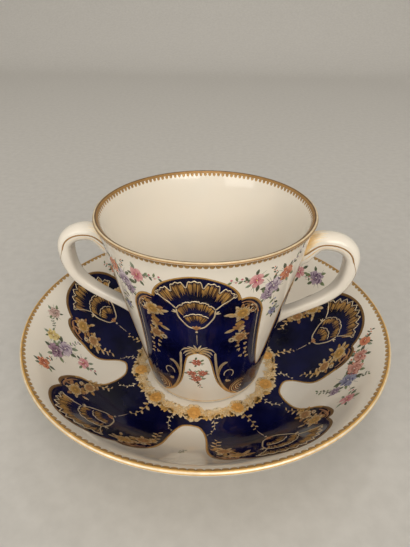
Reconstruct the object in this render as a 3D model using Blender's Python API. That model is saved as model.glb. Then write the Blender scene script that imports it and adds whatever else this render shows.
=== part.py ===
"""Two-handled porcelain chocolate cup standing in the well of its deep saucer.

Metres, +Z up. The origin is on the common axis, on the surface that the saucer stands on.
The handles lie along X, and the cup lifts straight up out of the saucer along Z.
"""

import math

import bmesh
import bpy
from mathutils import Vector

# Saucer: thrown in one piece with a slightly turned-out lip, its foot ring turned out of the same clay
SAUCER_RIM_RADIUS = 0.0770
SAUCER_LIP_THICKNESS = 0.0019
SAUCER_FLOOR_THICKNESS = 0.0032
SAUCER_WELL_RADIUS = 0.0390
SAUCER_WELL_DEPTH = 0.0295
SAUCER_SWEEP_POWER = 1.65
SAUCER_FLARE = 0.0014
SAUCER_FLARE_RUN = 0.0045
SAUCER_FOOT_RADIUS = 0.0440
SAUCER_FOOT_WIDTH = 0.0034
SAUCER_FOOT_HEIGHT = 0.0028

# Cup body: a plain cone with a slightly turned-out lip and a low foot ring
CUP_HEIGHT = 0.0794
CUP_RIM_RADIUS = 0.0422
CUP_FOOT_RADIUS = 0.0250
CUP_FLARE = 0.0006
CUP_FLARE_HEIGHT = 0.0060
CUP_LIP_THICKNESS = 0.0018
CUP_WALL_THICKNESS = 0.0030
CUP_FLOOR_THICKNESS = 0.0034
CUP_INNER_CORNER = 0.0075
CUP_FOOT_WIDTH = 0.0028
CUP_FOOT_HEIGHT = 0.0018

# Handles: a strap pressed in a mould, rounded outside and squarer inside, bent into an ear.
# It thins smoothly from its crest to its lower root.
HANDLE_OVERHANG = 0.0189
HANDLE_WIDTH = 0.0090
HANDLE_CROWN = 0.0031
HANDLE_BACK = 0.0034
HANDLE_LOWER_WIDTH = 0.0058
HANDLE_ROOT_BELOW_RIM = 0.0163
HANDLE_RISE = 0.0046
HANDLE_SHOULDER_SPAN = 0.0105
HANDLE_SHOULDER_DROP = 0.0088
HANDLE_LIMB_DROP = 0.0286
HANDLE_SPRING_ANGLE = math.radians(36)
HANDLE_LIMB_ANGLE = math.radians(27)
HANDLE_ROOT_FLARE = 0.0013
HANDLE_ROOT_FLARE_LENGTH = 0.0070

# Clearances: the cup stands just clear of the well, the handles just clear of the wall
SEAT_GAP = 0.0003
LUTING_GAP = 0.0003

# Arrises that the glaze rounds over, and how finely round forms are divided
EDGE_ROUND = 0.0006
TURN_SEGMENTS = 72
SWEEP_STEPS = 13
SWEEP_SPACING = 1.5
CORNER_STEPS = 5
STRAP_POINTS = 16
PATH_STEPS = 9

# Pulls of the handle's curve, as shares of each stretch
SPRING_PULL = 0.45
QUARTER_PULL = 0.58
LIMB_PULL_HIGH = 0.52
LIMB_PULL_LOW = 0.56

# Heights that follow from the sizes above
SAUCER_FLOOR_TOP = SAUCER_FOOT_HEIGHT + SAUCER_FLOOR_THICKNESS
SAUCER_HEIGHT = SAUCER_FLOOR_TOP + SAUCER_WELL_DEPTH
CUP_SEAT = SAUCER_FLOOR_TOP + SEAT_GAP
HANDLE_ROOT_HEIGHT = CUP_HEIGHT - HANDLE_ROOT_BELOW_RIM
HANDLE_CREST_HEIGHT = HANDLE_ROOT_HEIGHT + HANDLE_RISE
HANDLE_SHOULDER_HEIGHT = HANDLE_CREST_HEIGHT - HANDLE_SHOULDER_DROP
HANDLE_FOOT_HEIGHT = HANDLE_SHOULDER_HEIGHT - HANDLE_LIMB_DROP

WHITE_GLAZE = (0.84, 0.80, 0.73, 1.0)
GLAZE_ROUGHNESS = 0.12
SMOOTH_LIMIT = math.radians(40)


def clear_scene():
    for old in list(bpy.data.objects):
        bpy.data.objects.remove(old, do_unlink=True)


def glaze(name):
    """Glossy white glaze over porcelain."""
    material = bpy.data.materials.new(name)
    material.use_nodes = True
    shader = material.node_tree.nodes["Principled BSDF"]
    shader.inputs["Base Color"].default_value = WHITE_GLAZE
    shader.inputs["Roughness"].default_value = GLAZE_ROUGHNESS
    shader.inputs["Metallic"].default_value = 0.0
    return material


def add_piece(name, bm, parent=None):
    """Turn a bmesh into a smooth-shaded named object with its own glaze."""
    bmesh.ops.recalc_face_normals(bm, faces=bm.faces)
    mesh = bpy.data.meshes.new(name)
    bm.to_mesh(mesh)
    bm.free()
    mesh.shade_smooth()
    mesh.set_sharp_from_angle(angle=SMOOTH_LIMIT)
    mesh.materials.append(glaze(name + "_glaze"))
    piece = bpy.data.objects.new(name, mesh)
    piece.parent = parent
    bpy.context.scene.collection.objects.link(piece)
    return piece


def turned(outline):
    """Spin an outline of (radius, height) points, which starts and ends on the axis, about Z."""
    bm = bmesh.new()
    verts = [bm.verts.new((radius, 0.0, height)) for radius, height in outline]
    edges = [bm.edges.new(pair) for pair in zip(verts, verts[1:])]
    bmesh.ops.spin(bm, geom=verts + edges, cent=(0, 0, 0), axis=(0, 0, 1), angle=math.tau,
                   steps=TURN_SEGMENTS, use_merge=True)
    bmesh.ops.remove_doubles(bm, verts=bm.verts, dist=EDGE_ROUND / 100)
    return bm


def arc(centre, radius, start, end, steps):
    """Points on an arc in the (radius, height) plane, angles from +radius towards +height."""
    angles = [start + (end - start) * step / steps for step in range(steps + 1)]
    return [(centre[0] + radius * math.cos(a), centre[1] + radius * math.sin(a)) for a in angles]


# Saucer

def saucer_wall(u):
    """Middle of the saucer's wall, its normal on the lower side and its thickness, u from well to lip."""
    half_lip = SAUCER_LIP_THICKNESS / 2
    low = SAUCER_FOOT_HEIGHT + SAUCER_FLOOR_THICKNESS / 2
    run = SAUCER_RIM_RADIUS - half_lip - SAUCER_WELL_RADIUS - SAUCER_FLARE
    rise = SAUCER_HEIGHT - half_lip - low
    into_flare = max(0.0, 1 - (1 - u) * run / SAUCER_FLARE_RUN)
    middle = Vector((SAUCER_WELL_RADIUS + run * u + SAUCER_FLARE * into_flare ** 2,
                     low + rise * u ** SAUCER_SWEEP_POWER))
    outward = run + 2 * SAUCER_FLARE * into_flare * run / SAUCER_FLARE_RUN
    upward = rise * SAUCER_SWEEP_POWER * u ** (SAUCER_SWEEP_POWER - 1)
    normal = Vector((upward, -outward)).normalized()
    thickness = SAUCER_FLOOR_THICKNESS + (SAUCER_LIP_THICKNESS - SAUCER_FLOOR_THICKNESS) * u
    return middle, normal, thickness


def saucer_side(u, side):
    """A point of the saucer's upper (side -1) or lower (side +1) surface."""
    middle, normal, thickness = saucer_wall(u)
    return middle + normal * (side * thickness / 2)


def saucer_foot_u():
    """Where along the wall the foot ring's outer side leaves the saucer's underside."""
    low, high = 0.0, 1.0
    for _ in range(40):
        middle = (low + high) / 2
        if saucer_side(middle, 1).x < SAUCER_FOOT_RADIUS:
            low = middle
        else:
            high = middle
    return high


def build_saucer():
    nearness = [(step / SWEEP_STEPS) ** SWEEP_SPACING for step in range(SWEEP_STEPS + 1)]
    upper = [tuple(saucer_side(1 - share, -1)) for share in reversed(nearness)]
    middle, normal, thickness = saucer_wall(1.0)
    tilt = math.atan2(normal.y, normal.x)
    lip = arc(middle, thickness / 2, tilt + math.pi, 0.0, CORNER_STEPS - 1)[1:]
    lip += arc(middle, thickness / 2, 0.0, tilt, CORNER_STEPS - 3)[1:-1]
    foot_u = saucer_foot_u()
    lower = [tuple(saucer_side(1 - (1 - foot_u) * share, 1)) for share in nearness]
    foot_inner = SAUCER_FOOT_RADIUS - SAUCER_FOOT_WIDTH
    foot = [
        (SAUCER_FOOT_RADIUS, EDGE_ROUND),
        (SAUCER_FOOT_RADIUS - EDGE_ROUND, 0.0),
        (foot_inner + EDGE_ROUND, 0.0),
        (foot_inner, EDGE_ROUND),
        (foot_inner - EDGE_ROUND, SAUCER_FOOT_HEIGHT),
    ]
    outline = [(0.0, SAUCER_FLOOR_TOP)] + upper + lip + lower + foot + [(0.0, SAUCER_FOOT_HEIGHT)]
    return add_piece("saucer", turned(outline))


# Cup body, with heights measured from its own foot

def cup_radius(height):
    """Outer radius of the cup at a height above its foot."""
    cone_rim = CUP_RIM_RADIUS - CUP_FLARE
    cone = CUP_FOOT_RADIUS + (cone_rim - CUP_FOOT_RADIUS) * height / CUP_HEIGHT
    into_flare = max(0.0, height - (CUP_HEIGHT - CUP_FLARE_HEIGHT)) / CUP_FLARE_HEIGHT
    return cone + CUP_FLARE * into_flare ** 2


def cup_inner_radius(height):
    """Inner radius: the wall thins evenly from the foot to the lip."""
    share = height / CUP_HEIGHT
    return cup_radius(height) - (CUP_WALL_THICKNESS + (CUP_LIP_THICKNESS - CUP_WALL_THICKNESS) * share)


def wall_heights(low, high):
    """Heights up the wall: even steps up the cone, and finer ones through the turned-out lip."""
    bend = CUP_HEIGHT - CUP_FLARE_HEIGHT
    cone = [low + (bend - low) * step / CORNER_STEPS for step in range(CORNER_STEPS)]
    return cone + [bend + (high - bend) * step / CORNER_STEPS for step in range(CORNER_STEPS + 1)]


def build_cup_body(parent):
    floor = CUP_FOOT_HEIGHT + CUP_FLOOR_THICKNESS
    lean = math.atan2(CUP_RIM_RADIUS - CUP_FLARE - CUP_FOOT_RADIUS, CUP_HEIGHT)
    corner_top = floor + CUP_INNER_CORNER * (1 - math.sin(lean))
    corner_centre = (cup_inner_radius(corner_top) - CUP_INNER_CORNER * math.cos(lean),
                     floor + CUP_INNER_CORNER)
    corner = arc(corner_centre, CUP_INNER_CORNER, -math.pi / 2, -lean, CORNER_STEPS)
    lip_centre_height = CUP_HEIGHT - CUP_LIP_THICKNESS / 2
    inner = [(cup_inner_radius(h), h) for h in wall_heights(corner_top, lip_centre_height)[1:]]
    lip_centre = (CUP_RIM_RADIUS - CUP_LIP_THICKNESS / 2, lip_centre_height)
    lip = arc(lip_centre, CUP_LIP_THICKNESS / 2, math.pi, 0.0, CORNER_STEPS)[1:-1]
    outer = [(cup_radius(h), h) for h in reversed(wall_heights(EDGE_ROUND, lip_centre_height))]
    foot_inner = CUP_FOOT_RADIUS - CUP_FOOT_WIDTH
    foot = [
        (CUP_FOOT_RADIUS - EDGE_ROUND, 0.0),
        (foot_inner + EDGE_ROUND, 0.0),
        (foot_inner, EDGE_ROUND),
        (foot_inner - EDGE_ROUND, CUP_FOOT_HEIGHT),
    ]
    outline = [(0.0, floor)] + corner + inner + lip + outer + foot + [(0.0, CUP_FOOT_HEIGHT)]
    return add_piece("cup_body", turned(outline), parent)


def build_wall_cutter(parent):
    """The cup's outside as a plain solid, let out by the luting gap, that trims the handles' roots."""
    wall = [(cup_radius(h) + LUTING_GAP, h) for h in reversed(wall_heights(0.0, CUP_HEIGHT))]
    cutter = add_piece("cup_wall_cutter", turned([(0.0, CUP_HEIGHT)] + wall + [(0.0, 0.0)]), parent)
    cutter.hide_render = True
    cutter.display_type = "WIRE"
    return cutter


# Handles

def bezier(p0, p1, p2, p3, steps):
    """Points of a cubic curve and its directions, without its last point."""
    found = []
    for step in range(steps):
        t = step / steps
        s = 1 - t
        point = p0 * s ** 3 + p1 * (3 * s * s * t) + p2 * (3 * s * t * t) + p3 * t ** 3
        along = (p1 - p0) * (s * s) + (p2 - p1) * (2 * s * t) + (p3 - p2) * (t * t)
        found.append((point, along.normalized()))
    return found


def handle_path():
    """Middle line of the strap in the (x, z) plane, from its upper root round to its lower one."""
    reach = CUP_RIM_RADIUS + HANDLE_OVERHANG - HANDLE_CROWN
    root = Vector((cup_radius(HANDLE_ROOT_HEIGHT), HANDLE_ROOT_HEIGHT))
    crest = Vector((reach - HANDLE_SHOULDER_SPAN, HANDLE_CREST_HEIGHT))
    shoulder = Vector((reach, HANDLE_SHOULDER_HEIGHT))
    foot = Vector((cup_radius(HANDLE_FOOT_HEIGHT), HANDLE_FOOT_HEIGHT))
    spring = Vector((math.cos(HANDLE_SPRING_ANGLE), math.sin(HANDLE_SPRING_ANGLE)))
    limb = Vector((math.cos(HANDLE_LIMB_ANGLE), math.sin(HANDLE_LIMB_ANGLE)))
    level = Vector((1.0, 0.0))
    upright = Vector((0.0, 1.0))
    spring_run = (crest - root).length * SPRING_PULL
    limb_run = (shoulder - foot).length
    path = bezier(root, root + spring * spring_run, crest - level * spring_run, crest, PATH_STEPS)
    path += bezier(crest, crest + level * (HANDLE_SHOULDER_SPAN * QUARTER_PULL),
                   shoulder + upright * (HANDLE_SHOULDER_DROP * QUARTER_PULL), shoulder, PATH_STEPS)
    path += bezier(shoulder, shoulder - upright * (HANDLE_LIMB_DROP * LIMB_PULL_HIGH),
                   foot + limb * (limb_run * LIMB_PULL_LOW), foot, 2 * PATH_STEPS)
    path.append((foot, -limb))
    return path


def strap_section(height, flare):
    """Section of the strap as (across, outward) points: a rounded crown over a squarer back."""
    below_crest = (HANDLE_CREST_HEIGHT - height) / (HANDLE_CREST_HEIGHT - HANDLE_FOOT_HEIGHT)
    below_crest = min(1.0, max(0.0, below_crest))
    size = 1 - (1 - HANDLE_LOWER_WIDTH / HANDLE_WIDTH) * below_crest ** 2 * (3 - 2 * below_crest)
    half = size * (HANDLE_WIDTH + flare) / 2
    crown = size * (HANDLE_CROWN + flare)
    back = size * (HANDLE_BACK + flare)
    points = []
    for step in range(STRAP_POINTS):
        turn = math.tau * step / STRAP_POINTS
        across = math.cos(turn)
        outward = math.sin(turn)
        if step <= STRAP_POINTS // 2:
            points.append((half * across, crown * outward))
        else:
            square_across = math.copysign(abs(across) ** 0.5, across)
            square_inward = -abs(outward) ** 0.5
            points.append((half * square_across, back * square_inward))
    return points


def build_handle(name, side, parent, cutter):
    """Sweep the strap along its path, run both ends into the wall and trim them to it."""
    path = handle_path()
    overrun = 2 * (HANDLE_CROWN + HANDLE_BACK)
    first_point, first_along = path[0]
    last_point, last_along = path[-1]
    path = ([(first_point - first_along * overrun, first_along)] + path
            + [(last_point + last_along * overrun, last_along)])
    bm = bmesh.new()
    rings = []
    for point, along in path:
        from_wall = max(0.0, point.x - cup_radius(point.y))
        flare = HANDLE_ROOT_FLARE * max(0.0, 1 - from_wall / HANDLE_ROOT_FLARE_LENGTH) ** 2
        outward = Vector((-along.y, along.x))
        ring = []
        for across, depth in strap_section(point.y, flare):
            place = point + outward * depth
            ring.append(bm.verts.new((side * place.x, across, place.y)))
        rings.append(ring)
    for near, far in zip(rings, rings[1:]):
        for step in range(STRAP_POINTS):
            follow = (step + 1) % STRAP_POINTS
            bm.faces.new((near[step], near[follow], far[follow], far[step]))
    bm.faces.new(rings[0])
    bm.faces.new(rings[-1])
    handle = add_piece(name, bm, parent)
    trim = handle.modifiers.new("trim_to_wall", "BOOLEAN")
    trim.operation = "DIFFERENCE"
    trim.solver = "EXACT"
    trim.object = cutter
    return handle


clear_scene()
build_saucer()
cup = bpy.data.objects.new("cup_lift_axis", None)
cup.location = (0.0, 0.0, CUP_SEAT)
bpy.context.scene.collection.objects.link(cup)
build_cup_body(cup)
wall_cutter = build_wall_cutter(cup)
build_handle("left_handle", -1, cup, wall_cutter)
build_handle("right_handle", 1, cup, wall_cutter)
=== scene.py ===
"""Finish, ornament and studio of a two-handled porcelain chocolate cup in its deep saucer.

Metres, +Z up, in the frame of the solids: the common axis is Z and the handles lie along X.
"""
import math
import random

import bpy
import numpy as np
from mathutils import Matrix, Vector
from mathutils.geometry import delaunay_2d_cdt


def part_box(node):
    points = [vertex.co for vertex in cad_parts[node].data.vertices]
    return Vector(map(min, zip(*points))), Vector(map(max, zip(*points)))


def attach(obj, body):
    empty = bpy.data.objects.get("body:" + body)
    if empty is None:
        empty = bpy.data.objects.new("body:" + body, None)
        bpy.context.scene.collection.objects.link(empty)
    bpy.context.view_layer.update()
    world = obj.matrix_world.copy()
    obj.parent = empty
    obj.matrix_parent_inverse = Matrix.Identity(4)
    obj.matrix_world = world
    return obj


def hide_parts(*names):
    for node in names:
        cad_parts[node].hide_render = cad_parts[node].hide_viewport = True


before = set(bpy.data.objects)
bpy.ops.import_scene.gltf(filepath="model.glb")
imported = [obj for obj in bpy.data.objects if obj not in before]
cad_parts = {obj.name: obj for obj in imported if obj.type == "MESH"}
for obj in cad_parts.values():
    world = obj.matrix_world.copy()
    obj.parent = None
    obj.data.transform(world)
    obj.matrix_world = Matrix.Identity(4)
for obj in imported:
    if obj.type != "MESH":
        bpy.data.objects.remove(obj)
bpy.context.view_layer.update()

# Studio: a wide sheet of pale paper swept up behind the cup, soft lamps and the camera.
# The camera stands where the photograph was taken from, close above the front of the saucer.
PAPER_SIZE = 3.0
PAPER_RISE = 1.4
PAPER_CURVE = 0.6
PAPER_CURVE_STEPS = 24
PAPER_COLOUR = (0.66, 0.65, 0.63, 1.0)
PAPER_FIBRE = (0.71, 0.70, 0.68, 1.0)
PAPER_FIBRE_SCALE = 180.0
PAPER_ROUGHNESS = 0.8
CAMERA_PLACE = (0.01349, -0.15336, 0.15305)
CAMERA_TILT = math.radians(57.73)
CAMERA_TURN = math.radians(5.08)
CAMERA_LENS = 28.96
CAMERA_NEAR = 0.005
ROOM_COLOUR = (1.0, 0.98, 0.95, 1.0)
ROOM_STRENGTH = 0.32
LAMP_TARGET = Vector((0.0, 0.0, 0.04))
# Each lamp's place, width, power and colour
LAMPS = {
    "key_lamp": ((0.55, -0.95, 0.80), 0.80, 10.8, (1.0, 0.94, 0.85)),
    "fill_lamp": ((-0.75, -1.00, 0.60), 0.90, 6.6, (1.0, 0.97, 0.92)),
    "top_lamp": ((0.0, -0.20, 1.28), 0.60, 2.2, (1.0, 0.95, 0.88)),
    "glint_lamp": ((0.10, 0.30, 0.95), 0.06, 0.4, (1.0, 0.97, 0.92)),
}
# The part of a noise's range that is spread between two values
CLOUD_LOW = 0.32
CLOUD_HIGH = 0.68


def new_finish(name):
    """A node material and its shader."""
    material = bpy.data.materials.new(name)
    material.use_nodes = True
    return material, material.node_tree, material.node_tree.nodes["Principled BSDF"]


def feed(tree, socket, value):
    """Set an input, or link it where the value is another node's output."""
    if isinstance(value, bpy.types.NodeSocket):
        tree.links.new(value, socket)
    else:
        socket.default_value = value


def add_node(tree, kind, **values):
    """A node with some of its inputs fed; an underscore stands for a space in an input's name."""
    node = tree.nodes.new(kind)
    for name, value in values.items():
        feed(tree, node.inputs[name.replace("_", " ")], value)
    return node


def cloudy(tree, scale, low=0.0, high=1.0, detail=3.0):
    """Soft noise over the piece, spread between two values."""
    place = tree.nodes.new("ShaderNodeTexCoord")
    noise = add_node(tree, "ShaderNodeTexNoise", Vector=place.outputs["Object"], Scale=scale, Detail=detail)
    spread = add_node(tree, "ShaderNodeMapRange", Value=noise.outputs["Fac"], From_Min=CLOUD_LOW,
                      From_Max=CLOUD_HIGH, To_Min=low, To_Max=high)
    return spread.outputs["Result"]


def mix_colours(tree, share, first, second, kind="MIX"):
    """A mix of two colours, each a value or another node's output."""
    mix = tree.nodes.new("ShaderNodeMix")
    mix.data_type = "RGBA"
    mix.blend_type = kind
    sockets = {socket.identifier: socket for socket in mix.inputs}
    wanted = {"Factor_Float": share, "A_Color": first, "B_Color": second}
    for identifier, value in wanted.items():
        feed(tree, sockets[identifier], value)
    return next(socket for socket in mix.outputs if socket.identifier == "Result_Color")


bpy.ops.object.select_all(action="DESELECT")
bpy.ops.mesh.primitive_plane_add(size=PAPER_SIZE)
paper = bpy.context.object
paper.name = "paper_sweep"
for vertex in paper.data.vertices:
    vertex.select = vertex.co.y > 0
bpy.ops.object.mode_set(mode="EDIT")
bpy.ops.mesh.select_mode(type="VERT")
bpy.ops.mesh.extrude_region_move(TRANSFORM_OT_translate={"value": (0, 0, PAPER_RISE)})
bpy.ops.object.mode_set(mode="OBJECT")
for vertex in paper.data.vertices:
    vertex.select = vertex.co.y > 0 and vertex.co.z < PAPER_RISE / 2
bpy.ops.object.mode_set(mode="EDIT")
bpy.ops.mesh.bevel(offset=PAPER_CURVE, segments=PAPER_CURVE_STEPS, affect="EDGES")
bpy.ops.object.mode_set(mode="OBJECT")
bpy.ops.object.shade_smooth()
paper_finish, tree, shader = new_finish("pale_paper")
fibre = cloudy(tree, PAPER_FIBRE_SCALE)
feed(tree, shader.inputs["Base Color"], mix_colours(tree, fibre, PAPER_COLOUR, PAPER_FIBRE))
shader.inputs["Roughness"].default_value = PAPER_ROUGHNESS
paper.data.materials.append(paper_finish)

for lamp_name, (place, size, power, colour) in LAMPS.items():
    bpy.ops.object.light_add(type="AREA", location=place)
    lamp = bpy.context.object
    lamp.name = lamp_name
    lamp.rotation_euler = (LAMP_TARGET - lamp.location).to_track_quat("-Z", "Y").to_euler()
    lamp.data.size = size
    lamp.data.energy = power
    lamp.data.color = colour

world = bpy.data.worlds.new("studio_room")
world.use_nodes = True
room = world.node_tree.nodes["Background"]
room.inputs["Color"].default_value = ROOM_COLOUR
room.inputs["Strength"].default_value = ROOM_STRENGTH
bpy.context.scene.world = world

bpy.ops.object.camera_add(location=CAMERA_PLACE, rotation=(CAMERA_TILT, 0.0, CAMERA_TURN))
camera = bpy.context.object
camera.data.lens = CAMERA_LENS
camera.data.clip_start = CAMERA_NEAR
bpy.context.scene.camera = camera
bpy.context.scene.view_settings.view_transform = "Standard"

# Saucer: porcelain thrown on the wheel, its lip turned out a little and its foot ring turned from
# the same clay. A warm white glaze covers it and rounds its edges. Only the ground of the foot
# ring is wiped bare.
FIRED_ON = 0.00012
MERGE_DISTANCE = 0.000001
TURN_STEPS = 256
saucer_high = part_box("saucer")[1]
saucer_rim = saucer_high.x - FIRED_ON
saucer_height = saucer_high.z - FIRED_ON
SAUCER_WELL_RADIUS = 0.0390
SAUCER_FLOOR_THICKNESS = 0.0032
SAUCER_LIP_THICKNESS = 0.0019
SAUCER_SWEEP_POWER = 1.65
SAUCER_FLARE = 0.0014
SAUCER_FLARE_RUN = 0.0045
SAUCER_FOOT_RADIUS = 0.0440
SAUCER_FOOT_WIDTH = 0.0034
SAUCER_FOOT_HEIGHT = 0.0028
FOOT_ROUND = 0.0007
FOOT_STEPS = 4
LIP_STEPS = 10
SAUCER_SWEEP_STEPS = 56
saucer_floor = SAUCER_FOOT_HEIGHT + SAUCER_FLOOR_THICKNESS
WARM_WHITE = (0.82, 0.755, 0.655, 1.0)
COOL_WHITE = (0.79, 0.745, 0.665, 1.0)
BISCUIT = (0.60, 0.53, 0.44, 1.0)
IRON_SPECK = (0.30, 0.20, 0.12, 1.0)
SPECK_CELL = 130.0
SPECK_SIZE = 0.022
SPECK_SHARE = 0.72
BARE_BAND = 0.00035
GLAZE_CLOUDS = 38.0
GLAZE_GLOSS_CLOUDS = 110.0
GLAZE_ROUGHNESS = (0.05, 0.12)
BISCUIT_ROUGHNESS = 0.6
# Waves in a glaze: how close they lie, how deep they are and how much of that shows
GLAZE_WAVES = (70.0, 0.0006, 0.10)
WAVE_DETAIL = 2.0


def uneven(tree, shader, scale, depth, strength):
    """A slight unevenness of the surface, as a bump."""
    height = cloudy(tree, scale, detail=WAVE_DETAIL)
    bump = add_node(tree, "ShaderNodeBump", Distance=depth, Strength=strength, Height=height)
    feed(tree, shader.inputs["Normal"], bump.outputs["Normal"])


def reckon(tree, operation, *terms):
    """The result of a sum on terms that are numbers or other nodes' outputs."""
    node = tree.nodes.new("ShaderNodeMath")
    node.operation = operation
    for socket, term in zip(node.inputs, terms):
        feed(tree, socket, term)
    return node.outputs["Value"]


def glaze(name, bare_below):
    """White glaze with a slight unevenness, a few iron specks and a bare ground under its foot."""
    material, tree, shader = new_finish(name)
    tone = mix_colours(tree, cloudy(tree, GLAZE_CLOUDS), WARM_WHITE, COOL_WHITE)
    place = tree.nodes.new("ShaderNodeTexCoord").outputs["Object"]
    cells = add_node(tree, "ShaderNodeTexVoronoi", Vector=place, Scale=SPECK_CELL).outputs
    near = add_node(tree, "ShaderNodeMapRange", Value=cells["Distance"], From_Min=SPECK_SIZE, From_Max=0.0)
    chance = reckon(tree, "GREATER_THAN", cells["Color"], SPECK_SHARE)
    speck = reckon(tree, "MULTIPLY", near.outputs["Result"], chance)
    tone = mix_colours(tree, speck, tone, IRON_SPECK)
    height = add_node(tree, "ShaderNodeSeparateXYZ", Vector=place).outputs["Z"]
    bare = add_node(tree, "ShaderNodeMapRange", Value=height, From_Min=bare_below + BARE_BAND / 2,
                    From_Max=bare_below).outputs["Result"]
    feed(tree, shader.inputs["Base Color"], mix_colours(tree, bare, tone, BISCUIT))
    gloss = cloudy(tree, GLAZE_GLOSS_CLOUDS, *GLAZE_ROUGHNESS)
    feed(tree, shader.inputs["Roughness"], reckon(tree, "MULTIPLY_ADD", bare, BISCUIT_ROUGHNESS, gloss))
    uneven(tree, shader, *GLAZE_WAVES)
    return material


def arc(centre, radius, start, end, steps):
    """Points on an arc beside the axis, with angles from +radius towards +height."""
    angles = np.linspace(start, end, steps + 1)
    return [(centre[0] + radius * math.cos(a), centre[1] + radius * math.sin(a)) for a in angles]


def turned_piece(name, outline):
    """Draw an outline of (radius, height) points beside the axis and spin it into a smooth piece."""
    bpy.ops.object.select_all(action="DESELECT")
    bpy.ops.curve.primitive_bezier_curve_add()
    piece = bpy.context.object
    piece.name = name
    piece.data.splines.clear()
    line = piece.data.splines.new("POLY")
    line.points.add(len(outline) - 1)
    for point, (radius, height) in zip(line.points, outline):
        point.co = (radius, 0.0, height, 1.0)
    bpy.ops.object.convert(target="MESH")
    bpy.ops.object.mode_set(mode="EDIT")
    bpy.ops.mesh.select_all(action="SELECT")
    bpy.ops.mesh.spin(steps=TURN_STEPS, angle=math.tau, center=(0, 0, 0), axis=(0, 0, 1))
    bpy.ops.mesh.select_all(action="SELECT")
    bpy.ops.mesh.remove_doubles(threshold=MERGE_DISTANCE)
    bpy.ops.mesh.normals_make_consistent(inside=False)
    bpy.ops.object.mode_set(mode="OBJECT")
    bpy.ops.object.shade_smooth()
    return piece


def settle(piece, body, material):
    """Give a finished piece its material and the body it moves with."""
    piece.data.materials.clear()
    piece.data.materials.append(material)
    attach(piece, body)


def saucer_side(u, side):
    """A point of the wall's upper (-1) or lower (+1) side, u from the well to the lip."""
    half_lip = SAUCER_LIP_THICKNESS / 2
    low = SAUCER_FOOT_HEIGHT + SAUCER_FLOOR_THICKNESS / 2
    run = saucer_rim - half_lip - SAUCER_WELL_RADIUS - SAUCER_FLARE
    rise = saucer_height - half_lip - low
    into_flare = max(0.0, 1 - (1 - u) * run / SAUCER_FLARE_RUN)
    outward = run + 2 * SAUCER_FLARE * into_flare * run / SAUCER_FLARE_RUN
    upward = rise * SAUCER_SWEEP_POWER * u ** (SAUCER_SWEEP_POWER - 1)
    normal = Vector((upward, -outward)).normalized()
    thickness = SAUCER_FLOOR_THICKNESS + (SAUCER_LIP_THICKNESS - SAUCER_FLOOR_THICKNESS) * u
    middle = Vector((SAUCER_WELL_RADIUS + run * u + SAUCER_FLARE * into_flare ** 2,
                     low + rise * u ** SAUCER_SWEEP_POWER))
    return middle + normal * (side * thickness / 2), normal


def saucer_lip(steps):
    """The half-round lip, from the upper side over to the lower one."""
    end, normal = saucer_side(1.0, 0)
    tilt = math.atan2(normal.y, normal.x)
    return arc(end, SAUCER_LIP_THICKNESS / 2, tilt + math.pi, tilt, steps)


def foot_ring(outer, width, height):
    """The outline of a foot ring from its outer side to its inner one, its ground rounded over."""
    inner = outer - width
    return (arc((outer - FOOT_ROUND, FOOT_ROUND), FOOT_ROUND, 0.0, -math.pi / 2, FOOT_STEPS)
            + arc((inner + FOOT_ROUND, FOOT_ROUND), FOOT_ROUND, -math.pi / 2, -math.pi, FOOT_STEPS)
            + arc((inner - FOOT_ROUND, height - FOOT_ROUND), FOOT_ROUND, 0.0, math.pi / 2, FOOT_STEPS))


sweep = np.linspace(0.0, 1.0, SAUCER_SWEEP_STEPS + 1)
saucer_upper = [tuple(saucer_side(u, -1)[0]) for u in sweep]
saucer_lower = [tuple(saucer_side(u, 1)[0]) for u in sweep[::-1]]
saucer_lower = [point for point in saucer_lower if point[0] > SAUCER_FOOT_RADIUS + FOOT_ROUND]
saucer_outline = ([(0.0, saucer_floor)] + saucer_upper + saucer_lip(LIP_STEPS)[1:-1] + saucer_lower
                  + foot_ring(SAUCER_FOOT_RADIUS, SAUCER_FOOT_WIDTH, SAUCER_FOOT_HEIGHT)
                  + [(0.0, SAUCER_FOOT_HEIGHT)])
saucer = turned_piece("saucer_porcelain", saucer_outline)
settle(saucer, "saucer", glaze("saucer_glaze", BARE_BAND))
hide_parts("saucer")

# Saucer's cobalt ground: five dark blue lobes that run together round the well, painted under
# the glaze and fired with it. White tongues between the lobes reach in from the rim.
MILLIMETRE = 0.001
COBALT_THICKNESS = 0.00003
COBALT_EDGE = 0.0002
GROUND_SPACING = 0.0016
GROUND_CLEARANCE = 0.6
GROUND_BATCH = 200
SINK = 0.00001
COBALT_DEEP = (0.0015, 0.0017, 0.013, 1.0)
COBALT_BRIGHT = (0.005, 0.006, 0.050, 1.0)
COBALT_CLOUDS = 75.0
COBALT_DETAIL = 6.0
COBALT_GLOSS_CLOUDS = 120.0
COBALT_ROUGHNESS = (0.05, 0.13)
COBALT_GLOSS = 0.18
COBALT_WAVES = (90.0, 0.0005, 0.10)
LOBES = 5
FIRST_TONGUE = math.radians(-94)
GROUND_INNER_RADIUS = 29.3
GROUND_INNER_STEPS = 160
WELL_STEPS = 40
WELL_MARGIN = 0.0005
WALL_STEPS = 240
# Half of a lobe's edge, as degrees from the tongue's axis and millimetres from the centre
TONGUE_EDGE = ((0, 36.9), (4.8, 37.5), (7.4, 39.4), (8.9, 42.2), (9.4, 46.0), (9.4, 51.0), (10.0, 55.5),
               (11.0, 58.6))
LOBE_EAR = ((11.0, 58.6), (12.4, 61.2), (14.8, 63.8), (17.4, 65.0), (19.4, 64.7))
LOBE_FAN = ((19.4, 64.7), (20.8, 66.5), (23.0, 68.5), (26.3, 70.3), (30.6, 71.6), (36.0, 72.2))
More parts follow.
